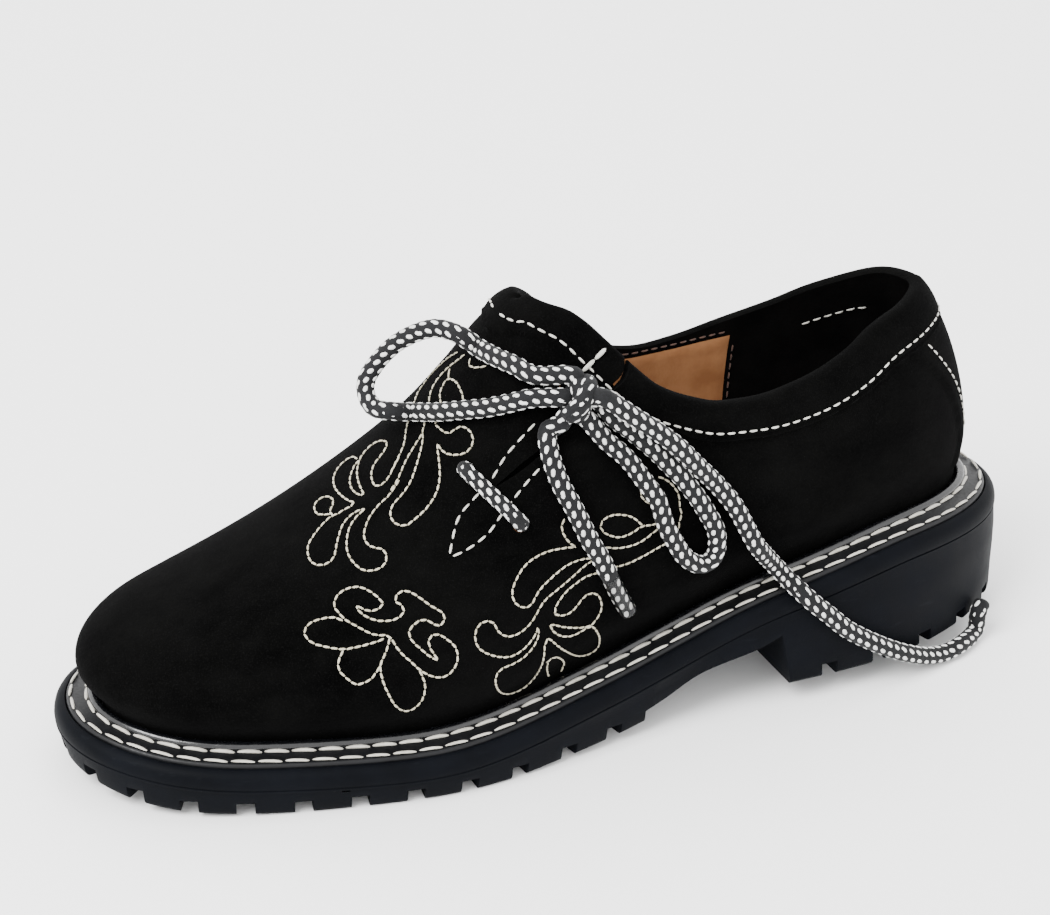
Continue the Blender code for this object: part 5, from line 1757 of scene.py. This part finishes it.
def flecks(name, points, radius, finish, start=0.0, stop=None, rows=6, pitch=0.0032):
    """White raised picks of the braid: short slanted ovals in rows round the lace, a half step apart."""
    curve, _ = resample(points, 0.0006)
    run = run_along(curve)
    _, sides, ups = tube_frames(curve)
    stop = run[-1] if stop is None else stop
    items = []
    for row in range(rows):
        turned = 2 * math.pi * row / rows
        first = start + (0.5 * pitch if row % 2 else 0.0) + 0.3 * pitch
        for at in np.arange(first, stop - 0.25 * pitch, pitch):
            ends = []
            for shift in (-1, 1):
                where = float(np.clip(at + shift * FLECK_HALF_LENGTH, 0, run[-1]))
                angle = turned + shift * FLECK_SLANT
                centre = spot_at(where, run, curve)
                side = spot_at(where, run, sides)
                up = spot_at(where, run, ups)
                out = side * math.cos(angle) + up * math.sin(angle)
                ends.append(centre + out * (radius - 0.00010))
            i = int(np.clip(np.searchsorted(run, at), 0, len(curve) - 1))
            normal = sides[i] * math.cos(turned) + ups[i] * math.sin(turned)
            items.append((ends[0], ends[1], normal, FLECK_HALF_WIDTH))
    return beads(name, items, finish, flat=0.42, arch=0.1)


def braid_radius(points, radius):
    """The braid's radius swells a little at each pick."""
    run = run_along(points)
    return radius + 0.00008 * np.cos(2 * math.pi * run / 0.00205)


def into_knot(route, centre, both_ends):
    """Leads a strand's ends on into the knot."""
    start = route[0] + (centre - route[0]) * KNOT_REACH
    route = np.vstack((start, route))
    if both_ends:
        stop = route[-1] + (centre - route[-1]) * KNOT_REACH
        route = np.vstack((route, stop))
    return route


def knot_turn(knot, centre):
    """A second turn of the knot, crossing under the first."""
    middle = knot[len(knot) // 2]
    first = knot[0] - centre
    out = middle - centre
    aside = np.cross(first, out)
    aside /= np.linalg.norm(aside)
    turn_points = []
    for t in np.radians(np.linspace(-80, 80, 9)):
        spot = centre + (first * math.sin(-t) * 0.85 + out * math.cos(t) * 0.72)
        turn_points.append(spot + aside * KNOT_CROSS * math.sin(t))
    return catmull(turn_points, 8)


def make_lace():
    black = braid_material()
    white = thread_material("lace_white", *LACE_WHITE, 0.75)
    radius = CORD_DIAMETER / 2
    knot = route_points(KNOT)
    lower_front, lower_rear, upper_front, upper_rear = hole_axes()

    def over(hole, lift):
        return hole[0] + hole[1] * (WALL + lift)

    def under(hole):
        return hole[0] - hole[1] * BAR_SINK

    corners = [
        over(upper_front, -CORD_END_DROP), under(upper_front), under(lower_front),
        over(lower_front, BAR_LIFT), over(lower_rear, BAR_LIFT),
        under(lower_rear), under(upper_rear), over(upper_rear, -CORD_END_DROP)]
    path, _ = resample(rounded(corners, BAR_BEND, 10), 0.0007)
    tight = radius * BAR_TIGHTNESS
    bars = tube("lace_bars_braid", path, braid_radius(path, tight), black)
    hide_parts("lace_bars")
    flecks("lace_bars_flecks", path, tight, white)

    centre = (knot[0] + knot[-1]) / 2
    for name, wrap in (("lace_knot", catmull(knot, 12)), ("lace_knot_under", knot_turn(knot, centre))):
        path, _ = resample(wrap, 0.0007)
        made = tube(name + "_braid", path, braid_radius(path, radius), black)
        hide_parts("lace_knot")
        flecks(name + "_flecks", path, radius, white)

    for node, rows in (("lace_loop_front", LOOP_FRONT), ("lace_loop_rear", LOOP_REAR),
                       ("lace_tail_short", TAIL_SHORT), ("lace_tail_long", TAIL_LONG)):
        route = route_points(rows)
        route = into_knot(route, centre, node.startswith("lace_loop"))
        path, length = resample(catmull(route, 12), 0.0007)
        size = braid_radius(path, radius)
        if node == "lace_tail_short":
            run = np.linspace(0, length, len(path))
            size = np.where(run > length - TIP_LENGTH, TIP_DIAMETER / 2, size)
        cord = tube(node + "_braid", path, size, black)
        stop = length - TIP_LENGTH if node == "lace_tail_short" else None
        picks = flecks(node + "_flecks", path, radius, white, stop=stop)
        if node == "lace_tail_short":
            tip, _ = resample(path[-int(TIP_LENGTH / 0.0007):], 0.0007)
            flecks("lace_tip_flecks", tip, TIP_DIAMETER / 2, white)
            film = tube("lace_tip_film", tip, TIP_DIAMETER / 2 + 0.00025, film_material())
        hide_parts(node)


def film_material():
    n = Nodes("clear_film")
    cloud = n.noise(0.004, 2.0, 0.5)
    return n.finish(Base_Color=(0.9, 0.9, 0.9), Roughness=n.ramp(cloud, 0.3, 0.7, 0.05, 0.12),
                    Transmission_Weight=1.0, IOR=1.3)


def stage_material():
    n = Nodes("pale_floor")
    cloud = n.noise(0.4, 2.0, 0.5)
    base = n.blend(cloud, (0.93, 0.93, 0.93), (0.95, 0.95, 0.95))
    return n.finish(Base_Color=base, Roughness=0.75, Specular_IOR_Level=0.1)


def make_floor():
    """A pale floor that the shoe stands on."""
    mesh = bpy.data.meshes.new("floor")
    half = 6.0
    corners = [(-half, -half, 0), (half, -half, 0), (half, half, 0), (-half, half, 0)]
    mesh.from_pydata(corners, [], [(0, 1, 2, 3)])
    floor = bpy.data.objects.new("floor", mesh)
    bpy.context.scene.collection.objects.link(floor)
    mesh.materials.append(stage_material())


def area_light(name, place_from, power, size, aim=(0.0, 0.0, 0.05)):
    data = bpy.data.lights.new(name, "AREA")
    data.energy = power
    data.size = size
    light = bpy.data.objects.new(name, data)
    light.location = place_from
    light.rotation_euler = (Vector(aim) - Vector(place_from)).to_track_quat("-Z", "Y").to_euler()
    bpy.context.scene.collection.objects.link(light)


def make_lights():
    world = bpy.data.worlds.new("studio")
    bpy.context.scene.world = world
    world.use_nodes = True
    world.node_tree.nodes["Background"].inputs["Color"].default_value = (1.0, 1.0, 1.0, 1.0)
    world.node_tree.nodes["Background"].inputs["Strength"].default_value = WORLD_STRENGTH
    for name, (spot, power, size) in LIGHTS.items():
        area_light(name, spot, power, size)


def main():
    upper, outer_tree, inner_tree, line = make_upper()
    off_white = thread_material("off_white_thread", *OFF_WHITE)
    cream = thread_material("cream_thread", *CREAM, 0.6)
    make_underlay(upper.data.materials[0])
    make_band_stitches(outer_tree, inner_tree, line, off_white)
    make_slit_stitches(outer_tree, off_white)
    make_embroidery(outer_tree, cream)
    make_linings(inner_tree)
    make_insole()
    make_welt()
    make_outsole()
    make_lace()
    make_floor()
    make_lights()
    make_camera()


main()
